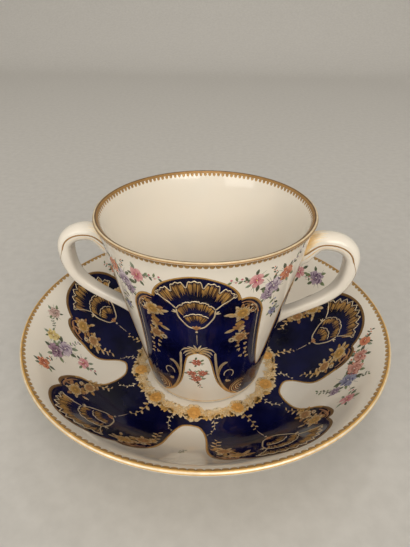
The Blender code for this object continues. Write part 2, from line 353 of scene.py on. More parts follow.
# Each tongue's slant in degrees, and how far along the face its tip, waist and straight part lie
TONGUE_SLANT = (0.0, -2.4, 2.0, -2.0, 2.8)
SLANT_TIP = 37.0
SLANT_WAIST = 51.0
SLANT_END = 61.0


def cobalt(name):
    """Dark blue under a glossy glaze, mottled where the colour lay thicker."""
    material, tree, shader = new_finish(name)
    mottle = cloudy(tree, COBALT_CLOUDS, detail=COBALT_DETAIL)
    feed(tree, shader.inputs["Base Color"], mix_colours(tree, mottle, COBALT_DEEP, COBALT_BRIGHT))
    feed(tree, shader.inputs["Roughness"], cloudy(tree, COBALT_GLOSS_CLOUDS, *COBALT_ROUGHNESS))
    shader.inputs["Specular IOR Level"].default_value = COBALT_GLOSS
    uneven(tree, shader, *COBALT_WAVES)
    return material


class TurnedFace:
    """A turned face to paint on, given by its line of (radius, height) points beside the axis."""

    def __init__(self, line, side, measure=None):
        self.line = np.array(line, float)
        steps = np.linalg.norm(np.diff(self.line, axis=0), axis=1)
        length = np.concatenate(([0.0], np.cumsum(steps)))
        self.measure = length if measure is None else np.array(measure, float)
        ahead = np.gradient(self.line, length, axis=0)
        self.normal = side * np.column_stack((-ahead[:, 1], ahead[:, 0]))

    def radius(self, along):
        return np.interp(along, self.measure, self.line[:, 0])

    def along_at(self, radius):
        return np.interp(radius, self.line[:, 0], self.measure)

    def point(self, angle, along, lift):
        """Points at an angle round the axis, a measure along the line and a lift off the face."""
        out = self.radius(along) + lift * np.interp(along, self.measure, self.normal[:, 0])
        up = np.interp(along, self.measure, self.line[:, 1])
        up = up + lift * np.interp(along, self.measure, self.normal[:, 1])
        return np.column_stack((out * np.cos(angle), out * np.sin(angle), up))


def flowing(points, steps=6, level_start=False, level_end=False):
    """A smooth line through the points, as a brush follows them; a level end crosses an axis square."""
    points = np.array(points, float)
    before = 2 * points[0] - points[1]
    after = 2 * points[-1] - points[-2]
    if level_start:
        before[1] = points[1][1]
    if level_end:
        after[1] = points[-2][1]
    points = np.vstack((before, points, after))
    t = (np.arange(steps) / steps)[:, None]
    line = []
    for a, b, c, d in zip(points, points[1:], points[2:], points[3:]):
        line.append(b + t * (c - a) / 2 + t ** 2 * (a - 2.5 * b + 2 * c - d / 2)
                    + t ** 3 * (1.5 * (b - c) + (d - a) / 2))
    return np.vstack(line + [points[-2:-1]])


def mirrored(half):
    """A whole line from its right half, which starts on the axis."""
    left = half[::-1] * (-1.0, 1.0)
    return np.vstack((left[:-1], half))


def inside(points, loops):
    """Which points lie inside the loops, counting crossings."""
    crossings = np.zeros(len(points), int)
    x, y = points[:, :1], points[:, 1:]
    for loop in loops:
        (ax, ay), (bx, by) = loop.T, np.roll(loop, -1, axis=0).T
        spans = (ay > y) != (by > y)
        reach = ax + (y - ay) / np.where(by == ay, 1.0, by - ay) * (bx - ax)
        crossings += (spans & (x < reach)).sum(axis=1)
    return crossings % 2 == 1


def film(name, face, loops, unflatten):
    """A thin even layer on a face, filled from flat loops, the outer one first, with soft edges."""
    rows = []
    for order, loop in enumerate(loops):
        (ax, ay), (bx, by) = loop.T, np.roll(loop, -1, axis=0).T
        anticlockwise = (ax * by - bx * ay).sum() > 0
        loop = loop if anticlockwise == (order == 0) else loop[::-1]
        ahead = np.roll(loop, -1, axis=0) - np.roll(loop, 1, axis=0)
        ahead = ahead / np.linalg.norm(ahead, axis=1)[:, None]
        rows += [loop, loop + COBALT_EDGE * np.column_stack((-ahead[:, 1], ahead[:, 0]))]
    border = np.vstack(rows)
    low, high = border.min(axis=0), border.max(axis=0)
    grid = np.stack(np.meshgrid(np.arange(low[0], high[0], GROUND_SPACING),
                                np.arange(low[1], high[1], GROUND_SPACING)), axis=-1).reshape(-1, 2)
    grid = grid[inside(grid, loops)]
    clear = [np.linalg.norm(border - part[:, None], axis=2).min(axis=1) > GROUND_SPACING * GROUND_CLEARANCE
             for part in np.array_split(grid, 1 + len(grid) // GROUND_BATCH)]
    grid = grid[np.concatenate(clear)]
    edges = []
    outer_rows = set()
    start = 0
    for order, row in enumerate(rows):
        count = len(row)
        edges += [(start + step, start + (step + 1) % count) for step in range(count)]
        if order % 2 == 0:
            outer_rows.update(range(start, start + count))
        start += count
    flat = [Vector(point) for point in np.vstack((border, grid))]
    found, _, triangles, origins, _, _ = delaunay_2d_cdt(flat, edges, [], 0, MERGE_DISTANCE)
    spots = np.array([tuple(point) for point in found])
    triangles = np.array(triangles)
    triangles = triangles[inside(spots[triangles].mean(axis=1), loops)]
    lift = np.array([-SINK if outer_rows & set(origin) else COBALT_THICKNESS for origin in origins])
    angle, along = unflatten(spots)
    return lay_mesh(name, face, angle, along, lift, triangles)


def lay_mesh(name, face, angle, along, lift, polygons, tints=None):
    """A smooth mesh on a face, every polygon turned to look off it."""
    points = face.point(angle, along, lift)
    above = face.point(angle, along, lift + MILLIMETRE) - points
    a, b, c = points[polygons[:, 0]], points[polygons[:, 1]], points[polygons[:, 2]]
    looks_in = (np.cross(b - a, c - a) * above[polygons[:, 0]]).sum(axis=1) < 0
    polygons[looks_in] = polygons[looks_in, ::-1]
    mesh = bpy.data.meshes.new(name)
    mesh.from_pydata(points.tolist(), [], polygons.tolist())
    mesh.shade_smooth()
    if tints is not None:
        tint = mesh.color_attributes.new("tint", "FLOAT_COLOR", "POINT")
        tint.data.foreach_set("color", np.column_stack((tints, np.ones(len(tints)))).ravel())
    piece = bpy.data.objects.new(name, mesh)
    bpy.context.scene.collection.objects.link(piece)
    return piece


well_radii = np.linspace(0.0, SAUCER_WELL_RADIUS - WELL_MARGIN, WELL_STEPS)
saucer_line = [(radius, saucer_floor) for radius in well_radii]
saucer_line += [tuple(saucer_side(u, -1)[0]) for u in np.linspace(0.0, 1.0, WALL_STEPS)]
saucer_face = TurnedFace(saucer_line, 1)
lobe_pitch = math.tau / LOBES


def on_saucer(points):
    """Points in degrees and millimetres from the centre, as millimetres across and along the face."""
    degrees, radius = np.array(points, float).T
    along = saucer_face.along_at(radius * MILLIMETRE) / MILLIMETRE
    return np.column_stack((np.radians(degrees) * radius, along))


def saucer_polar(across_along, axis):
    """The flat plan of points that are given in millimetres across and along from an axis."""
    across, along = across_along.T * MILLIMETRE
    angle = axis + across / saucer_face.radius(along)
    return np.column_stack((along * np.cos(angle), along * np.sin(angle)))


def slanted(line, degrees):
    """A tongue's edge as painted freehand: the tip leans one way and the waist the other."""
    along = line[:, 1]
    tip = np.clip((along - SLANT_TIP) / (SLANT_WAIST - SLANT_TIP), 0.0, 1.0)
    waist = np.clip((along - SLANT_WAIST) / (SLANT_END - SLANT_WAIST), 0.0, 1.0)
    share = -np.cos(math.pi * tip) - (1 - np.cos(math.pi * waist)) / 2
    return line + np.column_stack((math.radians(degrees) * along * share, np.zeros(len(line))))


tongue_line = flowing(on_saucer(TONGUE_EDGE), level_start=True)
ear_line = flowing(on_saucer(LOBE_EAR))
fan_line = flowing(on_saucer(LOBE_FAN), level_end=True)
half_lobe = np.vstack((tongue_line, ear_line[1:], fan_line[1:]))
tongue_axes = [FIRST_TONGUE + lobe_pitch * lobe for lobe in range(LOBES)]
lobe_axes = [axis + lobe_pitch / 2 for axis in tongue_axes]
whole_lobe = mirrored(half_lobe)[:-1]
lobed_loop = np.vstack([saucer_polar(slanted(whole_lobe, slant), axis)
                        for axis, slant in zip(tongue_axes, TONGUE_SLANT)])
around = np.linspace(0.0, math.tau, GROUND_INNER_STEPS, endpoint=False)[:, None]
well_loop = GROUND_INNER_RADIUS * MILLIMETRE * np.hstack((np.cos(around), np.sin(around)))
saucer_cobalt = film("saucer_cobalt_ground", saucer_face, [lobed_loop, well_loop],
                     lambda flat: (np.arctan2(flat[:, 1], flat[:, 0]), np.linalg.norm(flat, axis=1)))
cobalt_finish = cobalt("saucer_cobalt")
settle(saucer_cobalt, "saucer", cobalt_finish)

# Saucer's gilding: leaf gold ground in honey, brushed over the blue and the lip in many small
# strokes, fired and burnished. Shell fans fill the lobes, garlands hang down their sides, a
# wreath of blossoms rings the well, and a toothed band runs inside the gilt lip.
GILD_RISE = 0.00008
GOLD_CREAM = (0.93, 0.85, 0.68)
GOLD_PALE = (0.88, 0.73, 0.50)
GOLD_RICH = (0.86, 0.52, 0.15)
GOLD_PLAIN = (0.72, 0.42, 0.12)
GOLD_COPPER = (0.64, 0.33, 0.15)
GOLD_DULL = (0.40, 0.22, 0.07)
GOLD_BROWN = (0.15, 0.08, 0.03)
GOLD_DARK = (0.06, 0.03, 0.02)
# Strokes that shade from their start to their tip
OCHRE = (GOLD_DULL, GOLD_RICH)
ROSE = (GOLD_DULL, GOLD_COPPER)
LIGHT = (GOLD_RICH, GOLD_PALE)
CREAM = (GOLD_PALE, GOLD_CREAM)
WASH = (GOLD_RICH, GOLD_CREAM)
SUNLIT = ((0.70, 0.34, 0.08), (0.95, 0.52, 0.14))
EDGING = (0.31, 0.17, 0.055)
TOOTH = ((0.33, 0.19, 0.06), (0.62, 0.37, 0.12))
HATCHING = (GOLD_PLAIN, GOLD_PLAIN, GOLD_DULL, GOLD_BROWN)
GILDING_THIN = (0.80, 0.78, 0.74, 1.0)
FULL_TINT = (1.0, 1.0, 1.0, 1.0)
GILDING_CLOUDS = 420.0
GILDING_DETAIL = 4.0
GILDING_GLOSS_CLOUDS = 260.0
GILDING_ROUGHNESS = (0.28, 0.46)
GILDING_GRAIN = (1500.0, 0.00004, 0.30)
# How metallic the gold looks where it is burnished, and where it keeps the softer tone of the honey
BURNISHED_METAL = 0.6
HONEY_METAL = 0.25
# Half the width of a stroke's flat top and of its foot, as shares of its width, and its thinnest part
STROKE_TOP = 0.32
STROKE_FOOT = 0.5
OUTLINED_FOOT = 0.6
STROKE_THINNEST = 0.08
STROKE_SWELL = 2.5
EDGE_OVERLAP = 0.15
EDGE_FILL = 0.94
EDGE_LINE_PLACE = 0.72
EDGE_LINE_WIDTH = 0.17
EAR_INNER_LINE = 1.8
SAUCER_TEETH = 188
SAUCER_TOOTH = 1.6
SAUCER_TOOTH_BREADTH = 0.88
SAUCER_TEETH_START = 0.25
BRIM_START = 0.85
LIP_WALL_STEPS = 12
LIP_FACE_STEPS = 16
# The band round the lip: shares of the way over it, each with its tint. Its pale and cream strip over the
# lip's crown is a painted highlight.
SAUCER_BAND_AND_HIGHLIGHT = ((0.20, GOLD_DULL), (0.23, GOLD_PLAIN), (0.34, GOLD_PLAIN), (0.40, GOLD_PALE),
               (0.47, GOLD_CREAM), (0.54, GOLD_PALE), (0.62, GOLD_RICH), (0.74, GOLD_DULL))
SHELL_FOOT = 54.0
SHELL_TALL = 1.20
SHELL_SPREAD = math.radians(41)
DIP_SHARE = 0.06
RIPPLE = 0.12
SHELL_LINE = 0.42
HATCH_PITCH = 0.46
HATCH_GAP = 0.35
HATCH_SIDE = 0.99
HATCH_LENGTH = (0.72, 1.08)
HATCH_BREADTH = 1.25
HATCH_RISE = (0.7, 1.0)
# A blossom's fringe and heart, and its dark lines: where they start, their length and their breadth, as
# shares of its size. The petals share their breadth all round.
BLOSSOM_RINGS = ((0.16, 0.34, 2.7), (0.03, 0.31, 2.3))
BLOSSOM_LINE = (0.24, 0.17, 0.04)
BLOSSOM_EYE = 0.22
LEAF_BEND = 0.22
LEAF_RIB = (0.75, 0.06)
PETAL_FAN = 0.65
PETAL_BREADTH = 0.42
CLUSTER_LEAVES = 7
CLUSTER_START = 0.26
CLUSTER_LENGTH = (0.28, 0.40)
CLUSTER_BREADTH = 0.6
RING_STEPS = 14
RING_RADIUS = 0.33
RING_WIDTH = 0.34
RING_HEART = 0.30
SPRIG_STEM = 0.28
SPRIG_BREADTH = 0.5
SPRIG_BEND = 0.3
SCROLL_WIND = 0.8
WREATH_RADIUS = 30.0
WREATH_PLACES = 30
WREATH_BLOSSOM_SHIFT = 0.3
# The band under the wreath: millimetres from its middle, each with its tint. Its pale inner edge is a
# painted highlight.
WREATH_BAND_AND_HIGHLIGHT = ((-1.5, GOLD_PALE), (-1.3, GOLD_PALE), (1.3, GOLD_PLAIN), (1.5, GOLD_DULL))
# The wreath's blossoms in turn: size, heart, petals and outline
WREATH_BUD = (4.6, LIGHT, 6, GOLD_DULL)
WREATH_BLOSSOMS = ((9.4, SUNLIT, 10, EDGING), WREATH_BUD, WREATH_BUD,
                   (8.4, SUNLIT, 10, EDGING), WREATH_BUD, WREATH_BUD)
# The wreath's leaves: out of it or into it, their places, pitch and lean, how far off its middle they
# start, their length, tints, breadth and outline
# The paler tints and pale outline of the leaves that point into the wreath are a painted highlight
WREATH_LEAVES = (
    (1, np.linspace(-1.2, 1.2, 7), 2.2, 0.7, (0.2, 1.2), (2.6, 3.8), (OCHRE, LIGHT, LIGHT), 0.5, GOLD_DULL),
    (-1, (-1.0, -0.4, 0.4, 1.0), 1.9, 0.8, (0.2, 1.0), (1.6, 2.4), (LIGHT, CREAM), 0.6, GOLD_PALE),
)
# A shell's tiers: reach, fall to the sides, share of the spread, dips, their depth, length of hatching
SAUCER_SHELL_EDGE = (22.5, 2.2, 1.0, (-0.78, -0.56, -0.33, -0.11, 0.11, 0.33, 0.56, 0.78), 1.5, 6.5)
SHELL_TIERS = ((13.6, 2.1, 0.87, (-0.62, -0.22, 0.22, 0.62), 0.5, 4.2),
               (7.5, 0.6, 0.95, (-0.55, 0.0, 0.55), 0.4, 4.0))
# Half of a shell's side, in millimetres from its foot: the flaring rib and the bowl under it
SHELL_RIB = ((13.2, 15.0), (11.2, 13.4), (9.0, 11.8), (6.7, 9.4))
SHELL_BOWL = ((6.7, 9.4), (6.2, 5.9), (4.6, 3.1), (3.0, 1.0), (1.3, 0.15), (0.0, -0.2))
# Places of the scroll and of the two leaves at a shell's side, and of the petals, bead and drop at its foot
SHELL_SCROLL = (13.0, 15.4)
SHELL_LEAVES = (6.5, 7.4)
SHELL_LEAF_FANS = (0.15, 0.75)
SHELL_PETALS = -1.0
SHELL_PETAL_FANS = (-0.55, 0.0, 0.55)
SHELL_BEAD = -1.9
SHELL_DROP = -3.0
# Stems of the sprigs that end a saucer garland and that spring from the wreath
GARLAND_SPRIG = ((21.0, 54.4), (19.4, 50.8), (17.8, 47.4), (16.0, 44.2))
LOBE_SPRIG = ((0.4, 34.0), (1.2, 37.6), (1.2, 41.2), (0.2, 45.0))
WREATH_SPRIG = ((8.6, 33.6), (9.6, 36.4), (9.0, 39.6), (6.6, 42.2))


def painted_finish(name, scale, detail, thin, gloss_scale, roughness):
    """A finish in the tint of each brush stroke, thinner and duller in places."""
    material, tree, shader = new_finish(name)
    tint = tree.nodes.new("ShaderNodeVertexColor")
    tint.layer_name = "tint"
    worn = mix_colours(tree, cloudy(tree, scale, detail=detail), thin, FULL_TINT)
    feed(tree, shader.inputs["Base Color"], mix_colours(tree, 1.0, tint.outputs["Color"], worn, "MULTIPLY"))
    feed(tree, shader.inputs["Roughness"], cloudy(tree, gloss_scale, *roughness))
    return material, tree, shader


def gilding(name, metallic):
    """Gold leaf, rubbed thinner and duller in places."""
    material, tree, shader = painted_finish(name, GILDING_CLOUDS, GILDING_DETAIL, GILDING_THIN,
                                            GILDING_GLOSS_CLOUDS, GILDING_ROUGHNESS)
    shader.inputs["Metallic"].default_value = metallic
    uneven(tree, shader, *GILDING_GRAIN)
    return material


# How broad each kind of stroke is on its way from its start, 0, to its tip, 1
def leaf_shape(t):
    return np.sin(math.pi * t) ** 0.8


def petal_shape(t):
    return np.sin(math.pi * t ** 1.8) ** 0.55


def line_shape(t):
    return np.minimum(1.0, np.minimum(t, 1 - t) * 25) ** 0.5


def tail_shape(t):
    return np.minimum(1.0, t * 9) ** 0.5 * (1 - t) ** 0.7


def hook_shape(t):
    return np.minimum(1.0, 0.3 + 1.4 * t) * np.minimum(1.0, (1 - t) * 6) ** 0.5


def scroll_shape(t):
    return 0.35 + 0.65 * (1 - t)


def round_shape(t):
    return np.sqrt(1 - (2 * t - 1) ** 2)


def tooth_shape(t):
    return np.sqrt(1 - t ** 2)


class Brushwork:
    """Brush strokes on a face, each a low flat-topped ridge, gathered into one mesh."""

    def __init__(self, face):
        self.face = face
        self.rails = []
        self.polygons = []
        self.tints = []
        self.count = 0

    def seat(self, angle, along=0.0, hand=1):
        """Where a motif drawn in millimetres lands: its origin and hand."""
        def landed(x, y):
            up = along + MILLIMETRE * y
            return angle + hand * (MILLIMETRE * x) / self.face.radius(up), up

        return landed

    def ridge(self, rails, tints, closed):
        """Join rails of points, each (angle, measure along, lift), into a strip of faces."""
        steps = len(rails[0])
        near = np.arange(steps if closed else steps - 1)
        follow = (near + 1) % steps
        for row in range(len(rails) - 1):
            start = self.count + row * steps
            corners = (near, follow, follow + steps, near + steps)
            self.polygons.append(start + np.column_stack(corners))
        self.rails += rails
        self.tints += tints
        self.count += len(rails) * steps

    def stroke(self, seat, path, width, shape, tint, rise=GILD_RISE, closed=False, edge=None):
        """One stroke along a path, as wide as its shape says. A pair of tints runs from one to the
        other, and an edge tint outlines the stroke."""
        x, y = np.array(path, float).T
        if closed:
            ahead_x, ahead_y = np.roll(x, -1) - np.roll(x, 1), np.roll(y, -1) - np.roll(y, 1)
        else:
            ahead_x, ahead_y = np.gradient(x), np.gradient(y)
        length = np.hypot(ahead_x, ahead_y)
        t = np.linspace(0.0, 1.0, len(x))
        full = np.ones(len(x)) if closed else np.maximum(shape(t), STROKE_THINNEST)
        rails = []
        rim = STROKE_FOOT if edge is None else OUTLINED_FOOT
        for offset, top in ((-rim, 0), (-STROKE_TOP, 1), (STROKE_TOP, 1), (rim, 0)):
            reach = offset * width * full
            angle, along = seat(x - ahead_y / length * reach, y + ahead_x / length * reach)
            lift = top * rise * np.minimum(1.0, STROKE_SWELL * full) - (1 - top) * SINK
            rails.append(np.column_stack((angle, along, lift)))
        first, last = np.reshape(tint, (-1, 3))[[0, -1]]
        middle = first + t[:, None] * (last - first)
        border = middle if edge is None else np.tile(edge, (len(x), 1))
        self.ridge(rails, [border, middle, middle, border], closed)

    def ray(self, seat, x, y, turn, length, width, shape, tint, rise=GILD_RISE, bend=0.0, points=6,
            edge=None):
        """A stroke from a point in a direction, bent to one side."""
        t = np.linspace(0.0, 1.0, points)
        side = bend * length * np.sin(math.pi * t / 2) * t
        path = np.column_stack((x + length * t * math.cos(turn) - side * math.sin(turn),
                                y + length * t * math.sin(turn) + side * math.cos(turn)))
        self.stroke(seat, path, width, shape, tint, rise, edge=edge)

    def dot(self, seat, x, y, size, tint, rise=GILD_RISE, edge=None):
        self.ray(seat, x - size / 2, y, 0.0, size, size, round_shape, tint, rise, edge=edge)

    def band(self, rows, rise=GILD_RISE):
        """An even band all round a face, from rows of a measure along the face and a tint."""
        angle = np.linspace(0.0, math.tau, TURN_STEPS, endpoint=False)
        rails = []
        for order, (measure, tint) in enumerate(rows):
            lift = rise if 0 < order < len(rows) - 1 else -SINK
            rails.append(np.column_stack((angle, np.full(TURN_STEPS, measure), np.full(TURN_STEPS, lift))))
        self.ridge(rails, [np.tile(tint, (TURN_STEPS, 1)) for measure, tint in rows], True)

    def teeth(self, count, start, length, broad):
        """Small round-ended teeth all round a face, pointing along it from a start."""
        pitch = math.tau * self.face.radius(start) / count / MILLIMETRE
        turn = math.copysign(math.pi / 2, length)
        for tooth in range(count):
            seat = self.seat(math.tau * tooth / count, start)
            self.ray(seat, 0.0, 0.0, turn, abs(length), broad * pitch, tooth_shape, TOOTH, 0.8 * GILD_RISE,
                     points=10, edge=GOLD_BROWN)

    def piece(self, name):
        angle, along, lift = np.vstack(self.rails).T
        return lay_mesh(name, self.face, angle, along, lift, np.vstack(self.polygons), np.vstack(self.tints))


def inset(line, distance):
    """A line moved over to its right-hand side."""
    ahead = np.gradient(line, axis=0)
    ahead = ahead / np.linalg.norm(ahead, axis=1)[:, None]
    return line + np.column_stack((ahead[:, 1], -ahead[:, 0])) * np.reshape(distance, (-1, 1))


def gilt_edge(art, seat, line, widths, tint=GOLD_PLAIN, rise=GILD_RISE):
    """A band of gold along the inner side of an edge, as wide as the widths say, darker at its own edges
    and with a fine dark line."""
    width = np.interp(np.linspace(0.0, 1.0, len(line)), np.linspace(0.0, 1.0, len(widths)), widths)
    art.stroke(seat, inset(line, width / 2 - EDGE_OVERLAP), EDGE_FILL, lambda t: width, tint, rise,
               edge=GOLD_BROWN)
    art.stroke(seat, inset(line, EDGE_LINE_PLACE * width - EDGE_OVERLAP), EDGE_LINE_WIDTH, line_shape,
               GOLD_DARK, 1.5 * rise)


def away(x, y, turn, distance):
    """The point at a distance from another one, in a direction."""
    return x + distance * math.cos(turn), y + distance * math.sin(turn)


def curl(x, y, wide, tall, turns):
    """A line of points round a centre, at reaches across and up that may change on the way."""
    return np.column_stack((x + wide * np.cos(turns), y + tall * np.sin(turns)))


gilder = random.Random(11)


def gold_blossom(art, seat, x, y, size, heart=OCHRE, petals=8, edge=GOLD_BROWN):
    """A round gold flower head: a fringe of petals, a full heart over them and fine dark lines."""
    start = gilder.uniform(0, math.tau)
    for ring, ((near, reach, broad), tint) in enumerate(zip(BLOSSOM_RINGS, (LIGHT, heart))):
        for petal in range(petals):
            turn = start + math.tau * (petal + 0.5 * ring) / petals
            art.ray(seat, *away(x, y, turn, near * size), turn, reach * size * gilder.uniform(0.88, 1.1),
                    broad / petals * size, petal_shape, tint,
                    (0.8 + 0.6 * ring + 0.05 * petal) * GILD_RISE, edge=edge)
    near, reach, broad = BLOSSOM_LINE
    for line in range(petals):
        turn = start + math.tau * line / petals
        art.ray(seat, *away(x, y, turn, near * size), turn, reach * size, broad * size, tail_shape, edge,
                1.6 * GILD_RISE, points=3)
    art.dot(seat, x, y, BLOSSOM_EYE * size, heart[1], 2.3 * GILD_RISE, edge)


def gold_leaf(art, seat, x, y, turn, length, tint=LIGHT, width=0.40, edge=GOLD_BROWN):
    """A gold leaf with a dark rib."""
    bend = gilder.uniform(-LEAF_BEND, LEAF_BEND)
    art.ray(seat, x, y, turn, length, width * length, leaf_shape, tint, bend=bend, edge=edge)
    art.ray(seat, x, y, turn, LEAF_RIB[0] * length, LEAF_RIB[1] * length, tail_shape, edge,
            1.5 * GILD_RISE, bend, 4)


def gold_petals(art, seat, x, y, turn, size, tint=ROSE, count=3):
    """A few loose petals fanned out from one point."""
    for petal in range(count):
        fan = PETAL_FAN * (petal - (count - 1) / 2)
        art.ray(seat, x, y, turn + fan, size * gilder.uniform(0.8, 1.0), PETAL_BREADTH * size, petal_shape,
                tint, (0.8 + 0.1 * petal) * GILD_RISE, edge=GOLD_BROWN)


def gold_cluster(art, seat, x, y, size):
    """Leaves and petals that spread all round a point, to lie under a blossom."""
    start = gilder.uniform(0, math.tau)
    for leaf in range(CLUSTER_LEAVES):
        turn = start + math.tau * leaf / CLUSTER_LEAVES + gilder.uniform(-0.3, 0.3)
        gold_leaf(art, seat, *away(x, y, turn, CLUSTER_START * size), turn,
                  size * gilder.uniform(*CLUSTER_LENGTH), gilder.choice((OCHRE, LIGHT, ROSE)),
                  CLUSTER_BREADTH)


def gold_ring(art, seat, x, y, size):
    """A small pale ring of petals round a dark heart."""
    turns = np.linspace(0.0, math.tau, RING_STEPS, endpoint=False)
    path = curl(x, y, RING_RADIUS * size, RING_RADIUS * size, turns)
    art.stroke(seat, path, RING_WIDTH * size, line_shape, GOLD_PALE, 1.5 * GILD_RISE, True, GOLD_BROWN)
    art.dot(seat, x, y, RING_HEART * size, GOLD_DARK)


def gold_sprig(art, seat, stem, leaf, tint=GOLD_PALE, edge=None):
    """A fine wavy stem with small uneven leaves that shrink towards its tip."""
    line = flowing(stem, 5)
    art.stroke(seat, line, SPRIG_STEM, tail_shape, tint)
    ahead = np.gradient(line, axis=0)
    for step in range(1, len(line) - 1, 2):
        small = (1.15 - 0.5 * step / len(line)) * gilder.uniform(0.7, 1.2)
        hand = 1 if step % 4 == 1 else -1
        turn = math.atan2(ahead[step][1], ahead[step][0]) + hand * gilder.uniform(0.5, 1.0)
        art.ray(seat, *line[step], turn, leaf * small, SPRIG_BREADTH * leaf * small, leaf_shape, tint,
                bend=SPRIG_BEND * hand, edge=edge)


def gold_scroll(art, seat, x, y, wide, tall, turn, turns, width, tint=GOLD_PLAIN):
    """A scroll that winds in to its eye, anticlockwise for positive turns."""
    t = np.linspace(0.0, 1.0, 12 + round(14 * abs(turns)))
    wind = 1 - SCROLL_WIND * t
    path = curl(x, y, wide * wind, tall * wind, turn + math.tau * turns * t)
    art.stroke(seat, path, width, scroll_shape, tint)


def shell_tier(art, seat, tall, reach, fall, spread_share, dips, depth, hatch):
    """One tier of a shell: a pale wavy edge over close hatching that thins out towards the foot."""
    spread = spread_share * SHELL_SPREAD

    def crest(share):
        return reach - fall * share ** 2

    def edge(share):
        nearest = np.abs(np.subtract.outer(share, dips)).min(axis=1)
        ripple = RIPPLE * depth * np.cos(3 * math.tau * share / (dips[1] - dips[0]))
        return crest(share) + ripple - depth * np.exp(-(nearest / DIP_SHARE) ** 2.5)

    def spot(share, radius):
        return np.column_stack((radius * np.sin(spread * share), tall * radius * np.cos(spread * share)))

    share = np.linspace(-1.0, 1.0, 1 + 24 * (len(dips) + 1))
    art.stroke(seat, spot(share, edge(share)), SHELL_LINE, line_shape, GOLD_PALE, 1.6 * GILD_RISE)
    strokes = round(2 * spread * reach / HATCH_PITCH)
    share = np.linspace(-HATCH_SIDE, HATCH_SIDE, strokes)
    for place, top, high in zip(share, edge(share) - HATCH_GAP, crest(share)):
        foot = high - hatch * gilder.uniform(*HATCH_LENGTH)
        path = spot(np.full(5, place), np.linspace(top, foot, 5))
        art.stroke(seat, path, HATCH_BREADTH * HATCH_PITCH, tail_shape, gilder.choice(HATCHING),
                   gilder.uniform(*HATCH_RISE) * GILD_RISE)


def gold_shell(art, seat, tall, outer_tier):
    """A fan of three tiers on one foot, with pale ribs down its sides and a drop under it."""
    for tier in (outer_tier,) + SHELL_TIERS:
        shell_tier(art, seat, tall, *tier)
    for hand in (-1, 1):
        for rib, width in ((SHELL_RIB, 0.5), (SHELL_BOWL, 0.6)):
            art.stroke(seat, flowing(rib) * (hand, tall), width, line_shape, GOLD_PALE, 1.5 * GILD_RISE)
        gold_scroll(art, seat, SHELL_SCROLL[0] * hand, SHELL_SCROLL[1] * tall, 1.1, 1.1, -math.pi / 2,
                    0.9 * hand, 0.45, GOLD_PALE)
        for fan in SHELL_LEAF_FANS:
            turn = math.pi / 2 - hand * (math.pi / 2 - fan)
            art.ray(seat, SHELL_LEAVES[0] * hand, SHELL_LEAVES[1] * tall, turn, 2.1, 0.75, leaf_shape,
                    GOLD_PALE)
    for fan in SHELL_PETAL_FANS:
        art.ray(seat, 0.0, SHELL_PETALS, math.pi / 2 + fan, 2.6, 1.1, petal_shape, GOLD_COPPER,
                1.8 * GILD_RISE)
    art.dot(seat, 0.0, SHELL_BEAD, 1.1, GOLD_PALE, 1.6 * GILD_RISE)
    art.ray(seat, 0.0, SHELL_DROP, -math.pi / 2, 6.4, SHELL_LINE, tail_shape, GOLD_PALE)


def wreath_leaves(art, seat, way, places, pitch, lean, start, length, tints, breadth, edge):
    """Uneven leaves side by side that point out of the wreath or into it."""
    for place in places:
        gold_leaf(art, seat, pitch * place, WREATH_RADIUS + way * gilder.uniform(*start),
                  way * (math.pi / 2 - lean * place), gilder.uniform(*length), gilder.choice(tints), breadth,
                  edge)


def garland(art, seat, motifs):
    """A hanging garland, motif by motif in the order of painting."""
    for motif, *values in motifs:
        motif(art, seat, *values)


# What hangs down a lobe's side, each motif with its place across and along, and its own sizes
LOBE_GARLAND = (
    (gold_scroll, 22.0, 65.2, 2.2, 2.6, 0.4, 1.3, 1.0, GOLD_COPPER),
    (gold_sprig, GARLAND_SPRIG, 2.5, LIGHT, GOLD_BROWN),
    (gold_cluster, 16.8, 64.0, 9.0),
    (gold_cluster, 18.0, 60.0, 6.0),
    (gold_cluster, 18.7, 55.9, 8.2),
    (gold_petals, 19.6, 53.2, -1.2, 2.6, OCHRE),
    (gold_leaf, 13.4, 61.6, -2.5, 3.6),
    (gold_ring, 21.4, 59.4, 2.2),
    (gold_blossom, 18.7, 55.9, 6.2, ROSE),
    (gold_blossom, 16.8, 64.0, 7.4),
)
saucer_gold = Brushwork(saucer_face)
for axis, slant in zip(tongue_axes, TONGUE_SLANT):
    for hand in (-1, 1):
        seat = saucer_gold.seat(axis, hand=hand)
        gilt_edge(saucer_gold, seat, slanted(tongue_line, hand * slant), (0.7, 0.8, 1.3))
        gilt_edge(saucer_gold, seat, ear_line, (1.1, 1.4, 1.4, 1.1), EDGING, 1.2 * GILD_RISE)
        gilt_edge(saucer_gold, seat, inset(ear_line, EAR_INNER_LINE), (0.5, 1.1, 1.2, 0.6), GOLD_COPPER)
        gilt_edge(saucer_gold, seat, fan_line, (1.1, 1.2, 1.1), EDGING)
        gold_sprig(saucer_gold, seat, WREATH_SPRIG, 1.3)
for axis in lobe_axes:
    gold_shell(saucer_gold, saucer_gold.seat(axis, SHELL_FOOT * MILLIMETRE), SHELL_TALL, SAUCER_SHELL_EDGE)
    gold_sprig(saucer_gold, saucer_gold.seat(axis), LOBE_SPRIG, 2.2, LIGHT, GOLD_BROWN)
    for hand in (-1, 1):
        garland(saucer_gold, saucer_gold.seat(axis, hand=hand), LOBE_GARLAND)
gold_finish = gilding("burnished_gilding", BURNISHED_METAL)
settle(saucer_gold.piece("saucer_gilding"), "saucer", gold_finish)

